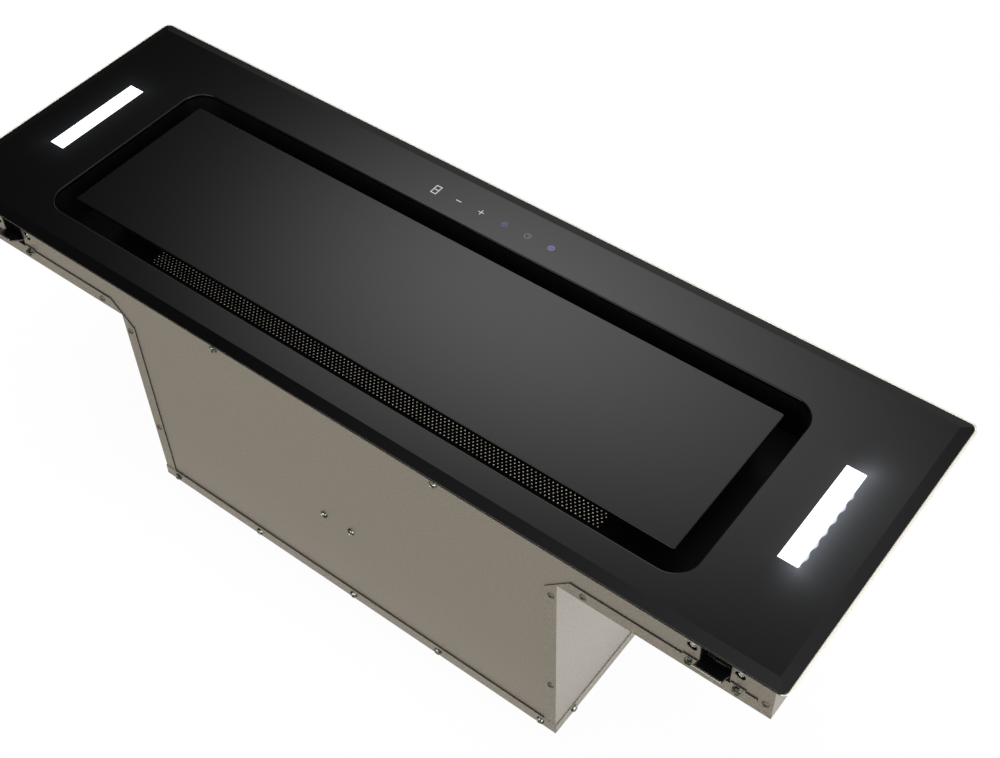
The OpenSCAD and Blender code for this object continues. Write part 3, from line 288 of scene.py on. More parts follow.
def satin_steel(tree):
    # ferritic stainless steel, matt rolled: a warm grey with a fine crawling grain and no clear
    # mirror. The grain is 0.1 mm on the real sheet and drawn at 1.3 mm, so that it shows.
    place = add(tree, "ShaderNodeTexCoord").outputs["Object"]
    speckle = add(tree, "ShaderNodeTexNoise", {
        "Vector": place, "Scale": 1 / 0.0013, "Detail": 2, "Roughness": 0.5}).outputs[0]
    grain = add(tree, "ShaderNodeMapRange", {
        "Value": speckle, "From Min": 0.34, "From Max": 0.66}).outputs[0]
    cloud = add(tree, "ShaderNodeTexNoise", {
        "Vector": place, "Scale": 1 / 0.09, "Detail": 2}).outputs[0]
    fine = add(tree, "ShaderNodeMix", {0: grain, 6: linear("#a19c93"), 7: linear("#cec8bf")},
               data_type="RGBA").outputs[2]
    soft = add(tree, "ShaderNodeMath", {0: cloud, 1: 0.5}, operation="MULTIPLY").outputs[0]
    base = add(tree, "ShaderNodeMix", {0: soft, 6: fine, 7: linear("#b8b3aa")},
               data_type="RGBA").outputs[2]
    rough = add(tree, "ShaderNodeMapRange", {
        "Value": grain, "To Min": 0.36, "To Max": 0.56}).outputs[0]
    bump = add(tree, "ShaderNodeBump", {
        "Height": grain, "Distance": 0.00003, "Strength": 0.5}).outputs[0]
    return add(tree, "ShaderNodeBsdfPrincipled", {
        "Base Color": base, "Metallic": 1, "Roughness": rough, "Normal": bump}).outputs[0]


def sheared_edge(tree):
    # the cut face of a sheet, torn and oily: nearly black, partly its own tone, partly painted
    # shade
    place = add(tree, "ShaderNodeTexCoord").outputs["Object"]
    torn = add(tree, "ShaderNodeTexNoise", {
        "Vector": place, "Scale": 1 / 0.003, "Detail": 2}).outputs[0]
    base = add(tree, "ShaderNodeMix", {0: torn, 6: linear("#0d0b09"), 7: linear("#2c2822")},
               data_type="RGBA").outputs[2]
    return add(tree, "ShaderNodeBsdfPrincipled", {"Base Color": base, "Roughness": 0.7}).outputs[0]


def merged(name):
    """A CAD piece as one closed mesh in which each flat face is whole."""
    form = bmesh.new()
    form.from_mesh(nodes[name].data)
    bmesh.ops.remove_doubles(form, verts=form.verts, dist=0.000001)
    bmesh.ops.dissolve_limit(form, angle_limit=math.radians(0.5), verts=form.verts,
                             edges=form.edges)
    return form


def shaped(name, form, *finishes):
    """The form as an object, with its place in its mesh."""
    data = bpy.data.meshes.new(name)
    form.to_mesh(data)
    form.free()
    piece = bpy.data.objects.new(name, data)
    bpy.context.collection.objects.link(piece)
    for one in finishes:
        data.materials.append(one)
    return piece


def settled(piece):
    """Turns what the modifiers make into the piece's own mesh."""
    final = piece.evaluated_get(bpy.context.evaluated_depsgraph_get())
    data = bpy.data.meshes.new_from_object(final)
    piece.modifiers.clear()
    piece.data = data
    return piece


def broken_edges(name, arris, *finishes, crease=24):
    """A CAD piece again, smooth where it bends less than the crease, with rounded sharp edges."""
    piece = shaped("finished_" + name, merged(name), *finishes)
    piece.data.shade_smooth()
    piece.data.set_sharp_from_angle(angle=math.radians(crease))
    bevel = piece.modifiers.new("arris", "BEVEL")
    bevel.width = arris
    bevel.segments = 3 if arris > 0.0005 else 2
    bevel.angle_limit = math.radians(40)
    bevel.use_clamp_overlap = False
    bevel.harden_normals = True
    return piece


def mounted(piece, body, slot, *stands_for):
    """Puts a piece on its body and hides the CAD pieces that it stands for; its slot is not used.
    """
    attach(piece, body)
    for name in stands_for:
        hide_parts(name)


def block(form, low, high):
    """Adds a box between two corners."""
    bmesh.ops.create_cube(form, size=1, matrix=Matrix.Translation((low + high) / 2)
                          @ Matrix.Diagonal((*(high - low), 1)))


def corners(spots):
    """The lowest and the highest corner of some points."""
    return [Vector([pick(spot[i] for spot in spots) for i in range(3)]) for pick in (min, max)]


steel = material("matt_stainless_steel", satin_steel)
cut_edge_and_painted_shade = material("sheared_edge", sheared_edge)
sheet_arris = 0.00012
flange_y = 0.1292  # the middle of the flanges' thickness
under_tray = 0.3508  # the height of the sheets' upper cut edges
laps = []
for name in ("front_sheet", "rear_sheet", "side_wrap_left", "side_wrap_right"):
    sheet = broken_edges(name, sheet_arris, steel, cut_edge_and_painted_shade)
    lo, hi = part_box(name)
    inside = max(-lo.x, hi.x) - 0.0001
    for face in sheet.data.polygons:
        # the flanges' cut faces, which look along the sheet that they lie on, drawn near black:
        # painted shade
        middle = face.center
        in_flange = abs(abs(middle.y) - flange_y) < 0.0004 and "wrap" in name
        if in_flange and abs(face.normal.y) < 0.5 and abs(middle.x) < inside:
            face.material_index = 1
            if face.normal.z > 0.9 and middle.z < hi.z - 0.01:
                laps.append(corners([sheet.data.vertices[i].co for i in face.vertices]))
    settled(sheet)
    # the sheets' upper cut edges, under the tray, take the same near-black painted shade
    for face in sheet.data.polygons:
        if face.center.z > under_tray and face.normal.z > 0.2:
            face.material_index = 1
    mounted(sheet, "hood_body", "body_steel", name)

# a black bead, 0.8 mm high, along the upper edge of each lap: painted shade that widens the dark
# seam
form = bmesh.new()
for lo, hi in laps:
    block(form, lo + Vector((0, 0.0001, 0)), hi + Vector((0, -0.0001, 0.0008)))
mounted(shaped("lap_sealant", form, cut_edge_and_painted_shade), "hood_body", "black_plastic")

zinc_sheet = material("galvanised_steel", galvanised)
lid = settled(broken_edges("end_lid", sheet_arris, steel))
mounted(lid, "hood_body", "body_steel", "end_lid")

# Screws and rivets
# Zinc-plated pan-head screws with a cross recess, most of them olive, hex-washer screws at the
# clips, and aluminium blind rivets, each with its pulled mandrel in a dark hole.


def turned(name, profile, sides, shape=None):
    """A turned form from a profile of radius and height, whose points a shape may move."""
    form = bmesh.new()
    rings = []
    for radius, height in profile:
        ring = []
        for i in range(sides):
            angle = 2 * math.pi * i / sides
            out, drop = shape(radius, angle) if shape else (radius, 0)
            ring.append(form.verts.new(
                (out * math.cos(angle), out * math.sin(angle), height - drop)))
        rings.append(ring)
    for low, high in zip(rings, rings[1:]):
        for i in range(sides):
            j = (i + 1) % sides
            form.faces.new((low[i], low[j], high[j], high[i]))
    form.faces.new(reversed(rings[0]))
    form.faces.new(rings[-1])
    data = bpy.data.meshes.new(name)
    form.to_mesh(data)
    form.free()
    data.shade_smooth()
    data.set_sharp_from_angle(angle=math.radians(35))
    return data


def cross(radius, angle):
    """The recess for the driver: four arms that narrow downwards."""
    arm = abs(math.sin(2 * angle)) < 0.5
    return radius, (0.0011 if radius < 0.0019 and arm else 0) + (0.0003 if radius < 0.0006 else 0)


def hexagon(radius, angle):
    """The six flats above the washer, and the dished top."""
    if radius > 0.0031:
        return radius, 0
    bent = math.cos((angle + math.pi / 6) % (math.pi / 3) - math.pi / 6)
    return radius * math.cos(math.pi / 6) / bent, 0


pan_profile = [
    (0.0019, -0.0050), (0.0019, -0.0027), (0.0039, -0.0026), (0.0040, -0.0020), (0.0037, -0.0012),
    (0.0031, -0.0006), (0.0024, -0.0002), (0.0018, 0), (0.0005, 0)]
rivet_profile = [
    (0.0030, -0.00129), (0.0032, -0.0012), (0.0031, -0.0007), (0.0024, -0.0002), (0.0015, 0),
    (0.0011, -0.0001), (0.0010, -0.0008), (0.0004, -0.0008)]
hex_profile = [
    (0.0019, -0.0075), (0.0019, -0.0045), (0.0040, -0.0044), (0.0040, -0.0038),
    (0.00305, -0.0034), (0.00305, -0.0004), (0.0026, 0), (0.0017, 0), (0.0014, -0.0008),
    (0.0004, -0.0008)]
HEADS = {
    "pan": turned("pan_head", pan_profile, 24, cross),
    "rivet": turned("rivet_head", rivet_profile, 20),
    "hex": turned("hexagon_head", hex_profile, 24, hexagon),
    "small": turned("small_pan_head", [(r * 0.8, z * 0.8) for r, z in pan_profile], 24, cross),
}


def fastener_tree():
    """Puts a head at each point, along that point's direction and turned by its own angle."""
    tree = bpy.data.node_groups.new("fasteners", "GeometryNodeTree")
    face = tree.interface
    for label, kind in (("Points", "Geometry"), ("Head", "Object"), ("Size", "Float"),
                        ("Finish", "Material")):
        face.new_socket(label, in_out="INPUT", socket_type="NodeSocket" + kind)
    face.new_socket("Fasteners", in_out="OUTPUT", socket_type="NodeSocketGeometry")
    given = add(tree, "NodeGroupInput").outputs
    head = add(tree, "GeometryNodeObjectInfo", {"Object": given["Head"]}).outputs["Geometry"]
    out = add(tree, "GeometryNodeInputNamedAttribute", {"Name": "out"},
              data_type="FLOAT_VECTOR").outputs[0]
    turn = add(tree, "FunctionNodeRandomValue", {2: 0, 3: 2 * math.pi, "Seed": 7},
               data_type="FLOAT").outputs[1]
    spun = add(tree, "FunctionNodeEulerToRotation", {
        0: add(tree, "ShaderNodeCombineXYZ", {"Z": turn}).outputs[0]}).outputs[0]
    aim = add(tree, "FunctionNodeAlignRotationToVector", {"Rotation": spun, "Vector": out},
              axis="Z").outputs[0]
    placed = add(tree, "GeometryNodeInstanceOnPoints", {
        "Points": given["Points"], "Instance": head, "Rotation": aim,
        "Scale": given["Size"]}).outputs[0]
    solid = add(tree, "GeometryNodeRealizeInstances", {0: placed}).outputs[0]
    done = add(tree, "GeometryNodeSetMaterial", {
        "Geometry": solid, "Material": given["Finish"]}).outputs[0]
    add(tree, "NodeGroupOutput", {"Fasteners": done})
    return tree


def islands(name):
    """The lowest and highest corner of each separate solid in a CAD piece."""
    form = merged(name)
    left = set(form.verts)
    found = []
    while left:
        front = [left.pop()]
        group = list(front)
        while front:
            for edge in front.pop().link_edges:
                for vert in edge.verts:
                    if vert in left:
                        left.remove(vert)
                        front.append(vert)
                        group.append(vert)
        found.append(corners([vert.co for vert in group]))
    form.free()
    return sorted(found, key=lambda pair: tuple(pair[0]))


def driven(piece, tree, given):
    """Gives a piece a tree as its modifier, with the tree's inputs set by their identifiers."""
    maker = piece.modifiers.new(tree.name, "NODES")
    maker.node_group = tree
    for item in tree.interface.items_tree:
        if item.in_out == "INPUT" and item.name in given:
            maker[item.identifier] = given[item.name]


def fasteners(name, kind, spots, made_of):
    """One piece of that kind of head at each spot, a pair of place and direction."""
    piece = flat_mesh(name, [spot for spot, out in spots], [])
    outward = piece.data.attributes.new("out", "FLOAT_VECTOR", "POINT")
    for slot, (spot, out) in zip(outward.data, spots):
        slot.vector = out
    head = bpy.data.objects.new("head_of_" + name, HEADS[kind])
    driven(piece, fastener_tree(), {"Head": head, "Size": 1.0, "Finish": made_of})
    settled(piece)
    bpy.data.objects.remove(head)
    return piece


def spots_of(name):
    """Where the head of each fastener of a CAD piece ends, and which way it looks."""
    spots = []
    for lo, hi in islands(name):
        size = hi - lo
        middle = (lo + hi) / 2
        # the axis along which its size is like neither of the others
        odd = max(range(3), key=lambda i: min(abs(size[i] - size[j]) for j in range(3) if j != i))
        out = Vector((0, 0, 0))
        out[odd] = -1 if odd == 2 or middle[odd] < 0 else 1
        middle[odd] = hi[odd] if out[odd] > 0 else lo[odd]
        spots.append((middle, out))
    return spots


def blind_rivet(tree):
    # aluminium rivet, headed in one stroke: dull and soft, mid grey
    rough = uneven(tree, 0.001, 0.18, 0.3)[1]
    return add(tree, "ShaderNodeBsdfPrincipled", {
        "Base Color": linear("#7f7c75"), "Metallic": 1, "Roughness": rough}).outputs[0]


def olive_zinc(tree):
    # zinc with an olive passivation: dark and greenish, with bright spots at random in its colour:
    # painted glints
    place = add(tree, "ShaderNodeTexCoord").outputs["Object"]
    cloud = add(tree, "ShaderNodeTexNoise", {
        "Vector": place, "Scale": 1 / 0.0025, "Detail": 2}).outputs[0]
    painted_glint_spots = add(tree, "ShaderNodeMapRange", {
        "Value": cloud, "From Min": 0.4, "From Max": 0.62}).outputs[0]
    base = add(tree, "ShaderNodeMix", {0: painted_glint_spots, 6: linear("#30342c"), 7: linear("#c6cabd")},
               data_type="RGBA").outputs[2]
    rough = add(tree, "ShaderNodeMapRange", {
        "Value": painted_glint_spots, "To Min": 0.1, "To Max": 0.2}).outputs[0]
    return add(tree, "ShaderNodeBsdfPrincipled", {
        "Base Color": base, "Metallic": 1, "Roughness": rough}).outputs[0]


olive = material("olive_passivated_zinc", olive_zinc)
rivet_metal = material("aluminium_rivet", blind_rivet)
for name, kind, made_of in (("lid_screws", "pan", olive), ("sheet_screws", "pan", olive),
                            ("sheet_rivets", "rivet", rivet_metal),
                            ("spigot_screws", "pan", plated)):
    piece = fasteners("finished_" + name, kind, spots_of(name), made_of)
    mounted(piece, "hood_body", "zinc", name)

# The cabinet clips
# Four sprung pawls of 1.5 mm steel, black coated and then sheared, so their edges are bright.
# Each turns on a riveted pin in a folded bracket behind a window, held by hexagon screws.


def black_coat(tree):
    # thin black powder coat on steel: even and satin, a little orange peel
    peel, rough = uneven(tree, 0.0016, 0.36, 0.5)
    bump = add(tree, "ShaderNodeBump", {
        "Height": peel, "Distance": 0.00005, "Strength": 0.5}).outputs[0]
    return add(tree, "ShaderNodeBsdfPrincipled", {
        "Base Color": linear("#0b0b0c"), "Roughness": rough, "Normal": bump}).outputs[0]


def bare_edge(tree):
    # sheared bright steel
    rough = uneven(tree, 0.0012, 0.25, 0.5)[1]
    return add(tree, "ShaderNodeBsdfPrincipled", {
        "Base Color": linear("#cfcdc6"), "Metallic": 1, "Roughness": rough}).outputs[0]


def oiled_steel(tree):
    # blackened spring steel under a film of oil: dark grey, a little smoother than the powder coat
    rough = uneven(tree, 0.004, 0.3, 0.45)[1]
    return add(tree, "ShaderNodeBsdfPrincipled", {
        "Base Color": linear("#181b1e"), "Roughness": rough}).outputs[0]


coated = material("black_powder_coat", black_coat)
blackened = material("blackened_spring_steel", oiled_steel)
bare = material("bright_sheared_edge", bare_edge)
pawl_arris = 0.00045
knuckle_r = 0.0045
pins = [(lo + hi) / 2 for lo, hi in islands("clip_pins")]
for front in ("front", "rear"):
    for side in ("left", "right"):
        name = "pawl_%s_%s" % (front, side)
        pawl = broken_edges(name, pawl_arris, blackened, bare)
        pawl.modifiers["arris"].material = 1
        for face in pawl.data.polygons:
            if abs(face.normal.x) > 0.9:
                face.material_index = 1
        settled(pawl)
        # the knuckle round the pin is black all over
        for face in pawl.data.polygons:
            if min((face.center.yz - pin.yz).length for pin in pins) < knuckle_r:
                face.material_index = 0
        mounted(pawl, "clip_%s_%s" % (front, side), "black_metal", name)

bracket = settled(broken_edges("clip_brackets", 0.0001, coated))
mounted(bracket, "hood_body", "black_metal", "clip_brackets")
coat(blackened, "clip_pins")

spots = spots_of("clip_screws")
sheet_y = 0.13
outer = [spot for spot in spots if abs(spot[0].y) > sheet_y]
# the inner ones sit close behind their access holes
inner = [(spot + out * 0.0012, out) for spot, out in spots if abs(spot.y) <= sheet_y]
for name, kind, places, made_of in (("clip_hexagon_screws", "hex", outer, olive),
                                    ("clip_inner_screws", "small", inner, plated)):
    mounted(fasteners(name, kind, places, made_of), "hood_body", "zinc", "clip_screws")

# The recess and the grease filter
# A black-coated band and floor round the filter. The filter is a folded black frame with a
# finely punched sheet on top, and layers of expanded aluminium under it that catch the grease.


def deep_black(tree):
    # matt black powder coat that the eye reads as a hole
    rough = uneven(tree, 0.0016, 0.5, 0.62)[1]
    return add(tree, "ShaderNodeBsdfPrincipled", {
        "Base Color": linear("#050505"), "Roughness": rough, "Specular IOR Level": 0.25}).outputs[0]


def expanded_aluminium(tree):
    # layers of slit and stretched foil: bright strands 0.6 mm wide round diamonds 4 mm long
    place = add(tree, "ShaderNodeTexCoord").outputs["Object"]
    parts = add(tree, "ShaderNodeSeparateXYZ", {0: place}).outputs
    waves = []
    for along, over in ((0.004, 0.0022), (0.004, -0.0022)):
        lean = add(tree, "ShaderNodeMath", {0: parts["X"], 1: 2 * math.pi / along},
                   operation="MULTIPLY").outputs[0]
        both = add(tree, "ShaderNodeMath", {0: parts["Y"], 1: 2 * math.pi / over, 2: lean},
                   operation="MULTIPLY_ADD").outputs[0]
        waves.append(add(tree, "ShaderNodeMath", {0: both}, operation="SINE").outputs[0])
    strands = add(tree, "ShaderNodeMath", {0: waves[0], 1: waves[1]},
                  operation="MAXIMUM").outputs[0]
    top = add(tree, "ShaderNodeMapRange", {
        "Value": strands, "From Min": 0.3, "From Max": 0.9}).outputs[0]
    base = add(tree, "ShaderNodeMix", {0: top, 6: linear("#b1aa99"), 7: linear("#ece6d6")},
               data_type="RGBA").outputs[2]
    bump = add(tree, "ShaderNodeBump", {
        "Height": strands, "Distance": 0.0005, "Strength": 0.8}).outputs[0]
    # a painted glow for the light that bounces between the layers, weaker towards the left
    inner = add(tree, "ShaderNodeMapRange", {
        "Value": parts["X"], "From Min": -0.27, "From Max": 0.05, "To Min": 0.22,
        "To Max": 0.5}).outputs[0]
    return add(tree, "ShaderNodeBsdfPrincipled", {
        "Base Color": base, "Metallic": 0.2, "Roughness": 0.45, "Normal": bump,
        "Emission Color": base, "Emission Strength": inner}).outputs[0]


black_recess = material("matt_black_coat", deep_black)
for name in ("recess_wall", "recess_floor"):
    piece = settled(broken_edges(name, 0.00015, black_recess))
    mounted(piece, "hood_body", "black_metal", name)
coat(zinc_sheet, "recess_straps", "filter_rails")
strands = material("expanded_aluminium", expanded_aluminium)
coat(strands, "filter_mesh")
coat(coated, "filter_frame")
coat(moulded, "filter_handle")


def punched_tree():
    """A plate of staggered cells, each with one punched hole."""
    tree = bpy.data.node_groups.new("punched_plate", "GeometryNodeTree")
    face = tree.interface
    for label, kind in (("Geometry", "Geometry"), ("Cell", "Object"), ("Columns", "Int"),
                        ("Rows", "Int"), ("Pitch Along", "Float"), ("Pitch Across", "Float"),
                        ("Corner", "Vector"), ("Finish", "Material")):
        face.new_socket(label, in_out="INPUT", socket_type="NodeSocket" + kind)
    face.new_socket("Plate", in_out="OUTPUT", socket_type="NodeSocketGeometry")
    given = add(tree, "NodeGroupInput").outputs
    count = add(tree, "ShaderNodeMath", {0: given["Columns"], 1: given["Rows"]},
                operation="MULTIPLY").outputs[0]
    points = add(tree, "GeometryNodePoints", {"Count": count}).outputs[0]
    index = add(tree, "GeometryNodeInputIndex").outputs[0]
    row = add(tree, "ShaderNodeMath", {0: index, 1: given["Columns"]},
              operation="DIVIDE").outputs[0]
    row = add(tree, "ShaderNodeMath", {0: row}, operation="FLOOR").outputs[0]
    column = add(tree, "ShaderNodeMath", {0: index, 1: given["Columns"]},
                 operation="MODULO").outputs[0]
    odd = add(tree, "ShaderNodeMath", {0: row, 1: 2}, operation="MODULO").outputs[0]
    shifted = add(tree, "ShaderNodeMath", {0: odd, 1: 0.5, 2: column},
                  operation="MULTIPLY_ADD").outputs[0]
    x = add(tree, "ShaderNodeMath", {0: shifted, 1: given["Pitch Along"]},
            operation="MULTIPLY").outputs[0]
    y = add(tree, "ShaderNodeMath", {0: row, 1: given["Pitch Across"]},
            operation="MULTIPLY").outputs[0]
    place = add(tree, "ShaderNodeCombineXYZ", {"X": x, "Y": y}).outputs[0]
    place = add(tree, "ShaderNodeVectorMath", {0: place, 1: given["Corner"]}).outputs[0]
    moved = add(tree, "GeometryNodeSetPosition", {
        "Geometry": points, "Position": place}).outputs[0]
    cell = add(tree, "GeometryNodeObjectInfo", {"Object": given["Cell"]}).outputs["Geometry"]
    placed = add(tree, "GeometryNodeInstanceOnPoints", {
        "Points": moved, "Instance": cell}).outputs[0]
    solid = add(tree, "GeometryNodeRealizeInstances", {0: placed}).outputs[0]
    joined = add(tree, "GeometryNodeMergeByDistance", {
        "Geometry": solid, "Distance": 0.00002}).outputs[0]
    done = add(tree, "GeometryNodeSetMaterial", {
        "Geometry": joined, "Material": given["Finish"]}).outputs[0]
    add(tree, "NodeGroupOutput", {"Plate": done})
    return tree


pitch_along = 0.00428
pitch_across = 0.00284
hole_r = 0.0007
face_t = 0.00035
rim_corners = [(-0.5, -0.5), (0, -0.5), (0.5, -0.5), (0.5, 0.5), (0, 0.5), (-0.5, 0.5)]
ring_turns = [math.radians(turn) for turn in (210, 270, 330, 30, 90, 150)]
cell_verts = [(x * pitch_along, y * pitch_across, 0) for x, y in rim_corners]
cell_verts += [(hole_r * math.cos(turn), hole_r * math.sin(turn), 0) for turn in ring_turns]
cell_faces = [(i, (i + 1) % 6, 6 + (i + 1) % 6, 6 + i) for i in range(6)]
cell = flat_mesh("punched_cell", cell_verts, cell_faces)
lo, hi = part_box("filter_face")
columns = 118
rows = 49
start = Vector((-(columns - 0.5) / 2 * pitch_along,
                (lo.y + hi.y) / 2 - (rows - 1) / 2 * pitch_across, hi.z))
for half, first, many in (("front", 0, 24), ("rear", 24, 25)):
    plate = flat_mesh("punched_sheet_" + half, [], [])
    driven(plate, punched_tree(), {
        "Cell": cell, "Columns": columns, "Rows": many, "Pitch Along": pitch_along,
        "Pitch Across": pitch_across, "Corner": start + Vector((0, first * pitch_across, 0)),
        "Finish": coated})
    thick = plate.modifiers.new("thickness", "SOLIDIFY")
    thick.thickness = face_t
    thick.offset = -1
    mounted(settled(plate), "grease_filter", "black_metal", "filter_face")
bpy.data.objects.remove(cell)
# the plain margin between the holes and the frame, which laps them by a hair above
x0 = (columns - 1) / 2 * pitch_along
y0 = start.y - pitch_across / 2
y1 = y0 + rows * pitch_across
margin_z = hi.z + 0.00002
form = bmesh.new()
for xa, ya, xb, yb in ((lo.x, lo.y, hi.x, y0), (lo.x, y1, hi.x, hi.y), (lo.x, y0, -x0, y1),
                       (x0, y0, hi.x, y1)):
    block(form, Vector((xa, ya, margin_z - face_t)), Vector((xb, yb, margin_z)))
margin = shaped("punched_sheet_margin", form, coated)
mounted(margin, "grease_filter", "black_metal", "filter_face")

# the topmost layer of foil, 0.3 mm thick, right under the punched sheet
foil_z = hi.z - face_t - 0.00005
form = bmesh.new()
block(form, Vector((-x0, y0, foil_z - 0.0003)), Vector((x0, y1, foil_z)))
mounted(shaped("filter_foil", form, strands), "grease_filter", "filter_mesh")

# The fascia
# One sheet of 4 mm float glass, black on its rear side, with a wide polished bevel all round,
# glued on a flat tray of steel that stands 2 mm out beyond its rear edge and its ends.

GLASS_TOP = cad_bounds[1].z
PRINT_T = 0.00003
led_x = 0.3959
led_half = Vector((0.0087, 0.0522))
diode_pitch = 0.0137


def tray_steel(tree):
    # satin stainless steel: a pale, nearly even tone from all sides, a painted sheen for what it
    # mirrors
    rough = uneven(tree, 0.0015, 0.3, 0.45, 3)[1]
    return add(tree, "ShaderNodeBsdfPrincipled", {
        "Base Color": linear("#f0ebe0"), "Metallic": 0.35, "Roughness": rough}).outputs[0]


def painted_window_glow(tree):
    """The painted glow from the windows at a point of the glass, and the painted scallops of light
    at their edge.
    """
    place = add(tree, "ShaderNodeTexCoord").outputs["Object"]
    parts = add(tree, "ShaderNodeSeparateXYZ", {0: place}).outputs
    side = add(tree, "ShaderNodeMath", {0: parts["X"]}, operation="ABSOLUTE").outputs[0]
    off = add(tree, "ShaderNodeMath", {0: side, 1: led_x}, operation="SUBTRACT").outputs[0]
    past, out = [], []
    for value, half in ((off, led_half.x), (parts["Y"], led_half.y)):
        value = add(tree, "ShaderNodeMath", {0: value}, operation="ABSOLUTE").outputs[0]
        past.append(add(tree, "ShaderNodeMath", {0: value, 1: half},
                        operation="SUBTRACT").outputs[0])
        out.append(add(tree, "ShaderNodeMath", {0: past[-1], 1: 0},
                       operation="MAXIMUM").outputs[0])
    far = add(tree, "ShaderNodeCombineXYZ", {"X": out[0], "Y": out[1]}).outputs[0]
    far = add(tree, "ShaderNodeVectorMath", {0: far}, operation="LENGTH").outputs["Value"]
    # the painted glow fades to a third in 9 mm, and is stronger round the right window's outer side
    fade = add(tree, "ShaderNodeMath", {0: far, 1: -1 / 0.009}, operation="MULTIPLY").outputs[0]
    glow = add(tree, "ShaderNodeMath", {0: fade}, operation="EXPONENT").outputs[0]
    share = add(tree, "ShaderNodeMapRange", {
        "Value": parts["X"], "From Min": led_x - 0.012, "From Max": led_x + 0.012,
        "To Min": 0.015, "To Max": 0.17}, interpolation_type="SMOOTHSTEP").outputs[0]
    painted_halo = add(tree, "ShaderNodeMath", {0: glow, 1: share}, operation="MULTIPLY").outputs[0]
    # eight diodes behind the lens, each with a soft painted scallop of light 1.7 mm deep but for
    # the rearmost
    beat = add(tree, "ShaderNodeMath", {0: parts["Y"], 1: 2 * math.pi / diode_pitch},
               operation="MULTIPLY").outputs[0]
    crest = add(tree, "ShaderNodeMath", {0: beat}, operation="COSINE").outputs[0]
    depth = add(tree, "ShaderNodeMapRange", {
        "Value": crest, "From Min": -1, "From Max": 1, "To Max": 0.0017}).outputs[0]
    shallow = add(tree, "ShaderNodeMapRange", {
        "Value": parts["Y"], "From Min": 0.026, "From Max": 0.034, "To Min": 1,
        "To Max": 0}).outputs[0]
    depth = add(tree, "ShaderNodeMath", {0: depth, 1: shallow}, operation="MULTIPLY").outputs[0]
    at_right = add(tree, "ShaderNodeMath", {0: parts["X"], 1: led_x},
                   operation="GREATER_THAN").outputs[0]
    beside = add(tree, "ShaderNodeMath", {0: past[1], 1: -0.001},
                 operation="LESS_THAN").outputs[0]
    there = add(tree, "ShaderNodeMath", {0: at_right, 1: beside},
                operation="MULTIPLY").outputs[0]
    room = add(tree, "ShaderNodeMath", {0: depth, 1: past[0]}, operation="SUBTRACT").outputs[0]
    white = add(tree, "ShaderNodeMapRange", {
        "Value": room, "From Min": -0.0009, "From Max": 0.0003}).outputs[0]
    painted_scallop = add(tree, "ShaderNodeMath", {0: white, 1: there}, operation="MULTIPLY").outputs[0]
    return painted_halo, painted_scallop


def enamelled_glass(tree):
    # float glass over fired black enamel: a clear mirror on deep black, with a painted glow round
    # the light windows
    rough = uneven(tree, 0.12, 0.03, 0.06)[1]
    painted_halo, painted_scallop = painted_window_glow(tree)
    light = add(tree, "ShaderNodeMath", {0: painted_halo, 1: painted_scallop}, operation="MAXIMUM").outputs[0]
    return add(tree, "ShaderNodeBsdfPrincipled", {
        "Base Color": linear("#040404"), "Roughness": rough, "IOR": 1.52,
        "Emission Color": linear("#dfe8f6"), "Emission Strength": light}).outputs[0]


glass = material("enamelled_glass", enamelled_glass)
rim_steel_painted_sheen = material("brushed_steel_rim", tray_steel)
tray = settled(broken_edges("fascia_tray", sheet_arris, rim_steel_painted_sheen, black_recess))
front_y = cad_bounds[0].y
for face in tray.data.polygons:
    # the front edge, level with the glass, is drawn matt black: painted shade
    if face.normal.y < -0.1 and face.center.y < front_y + 0.0005:
        face.material_index = 1
mounted(tray, "hood_body", "tray_steel", "fascia_tray")

# the tray's folded hem, which stands up along the glass at its left end and the rear: its line
# as corner points and outward directions, and its section as distances out and heights
corner = Vector((0.4440, 0.1410))
line = [(-corner.x, -0.1400, -1, 0)]
for x, first, steps in ((-corner.x, 180, 9), (corner.x, 90, 5)):
    for i in range(steps):
        turn = math.radians(first - i * 90 / 8)
        line.append((x, corner.y, math.cos(turn), math.sin(turn)))
section = [(0.00615, 0.35102), (0.0079, 0.35102), (0.0079, 0.3519), (0.0072, 0.3526),
           (0.00645, 0.3526), (0.00615, 0.3524)]


def swept(form, rows, closed):
    """Skins rows of points that follow each other, with two end caps unless it is closed."""
    rows = [[form.verts.new(point) for point in row] for row in rows]
    sides = len(rows[0])
    for one, two in zip(rows, rows[1:] + rows[:1] if closed else rows[1:]):
        for k in range(sides):
            form.faces.new((one[k], one[(k + 1) % sides], two[(k + 1) % sides], two[k]))
    if not closed:
        form.faces.new(rows[0])
        form.faces.new(reversed(rows[-1]))
    bmesh.ops.recalc_face_normals(form, faces=form.faces)


form = bmesh.new()
swept(form, [[(x + out_x * out, y + out_y * out, z) for out, z in section]
             for x, y, out_x, out_y in line], False)
hem = shaped("tray_hem", form, rim_steel_painted_sheen, cut_edge_and_painted_shade)
for face in hem.data.polygons:
    # the outer corner of the fold at the rear is drawn near black: painted shade
    if face.center.z > 0.352 and 0.3 < face.normal.z < 0.95 and face.normal.y > 0.1:
        face.material_index = 1
mounted(hem, "hood_body", "tray_steel")

opening_half = Vector((0.36, 0.125))  # a little past the opening's rim
rim_ground = 0.001
adhesive_z = 0.3515  # how high the adhesive stands round the glass, and how high the painted shade reaches at its front edge
front_painted_shade_z = 0.3526
rounding_area = 0.00005  # a face below this is part of a rounded edge


def at_opening(spot):
    """Whether a point is at the glass's opening, seen from above."""
    return abs(spot.x) < opening_half.x and abs(spot.y) < opening_half.y


sheet = broken_edges("fascia_glass", 0.0004, glass, black_recess, crease=10)
form = bmesh.new()
form.from_mesh(sheet.data)
for vert in form.verts:
    # room for the printed keys, which end level with the CAD glass
    if vert.co.z > GLASS_TOP - 0.00001:
        vert.co.z -= PRINT_T
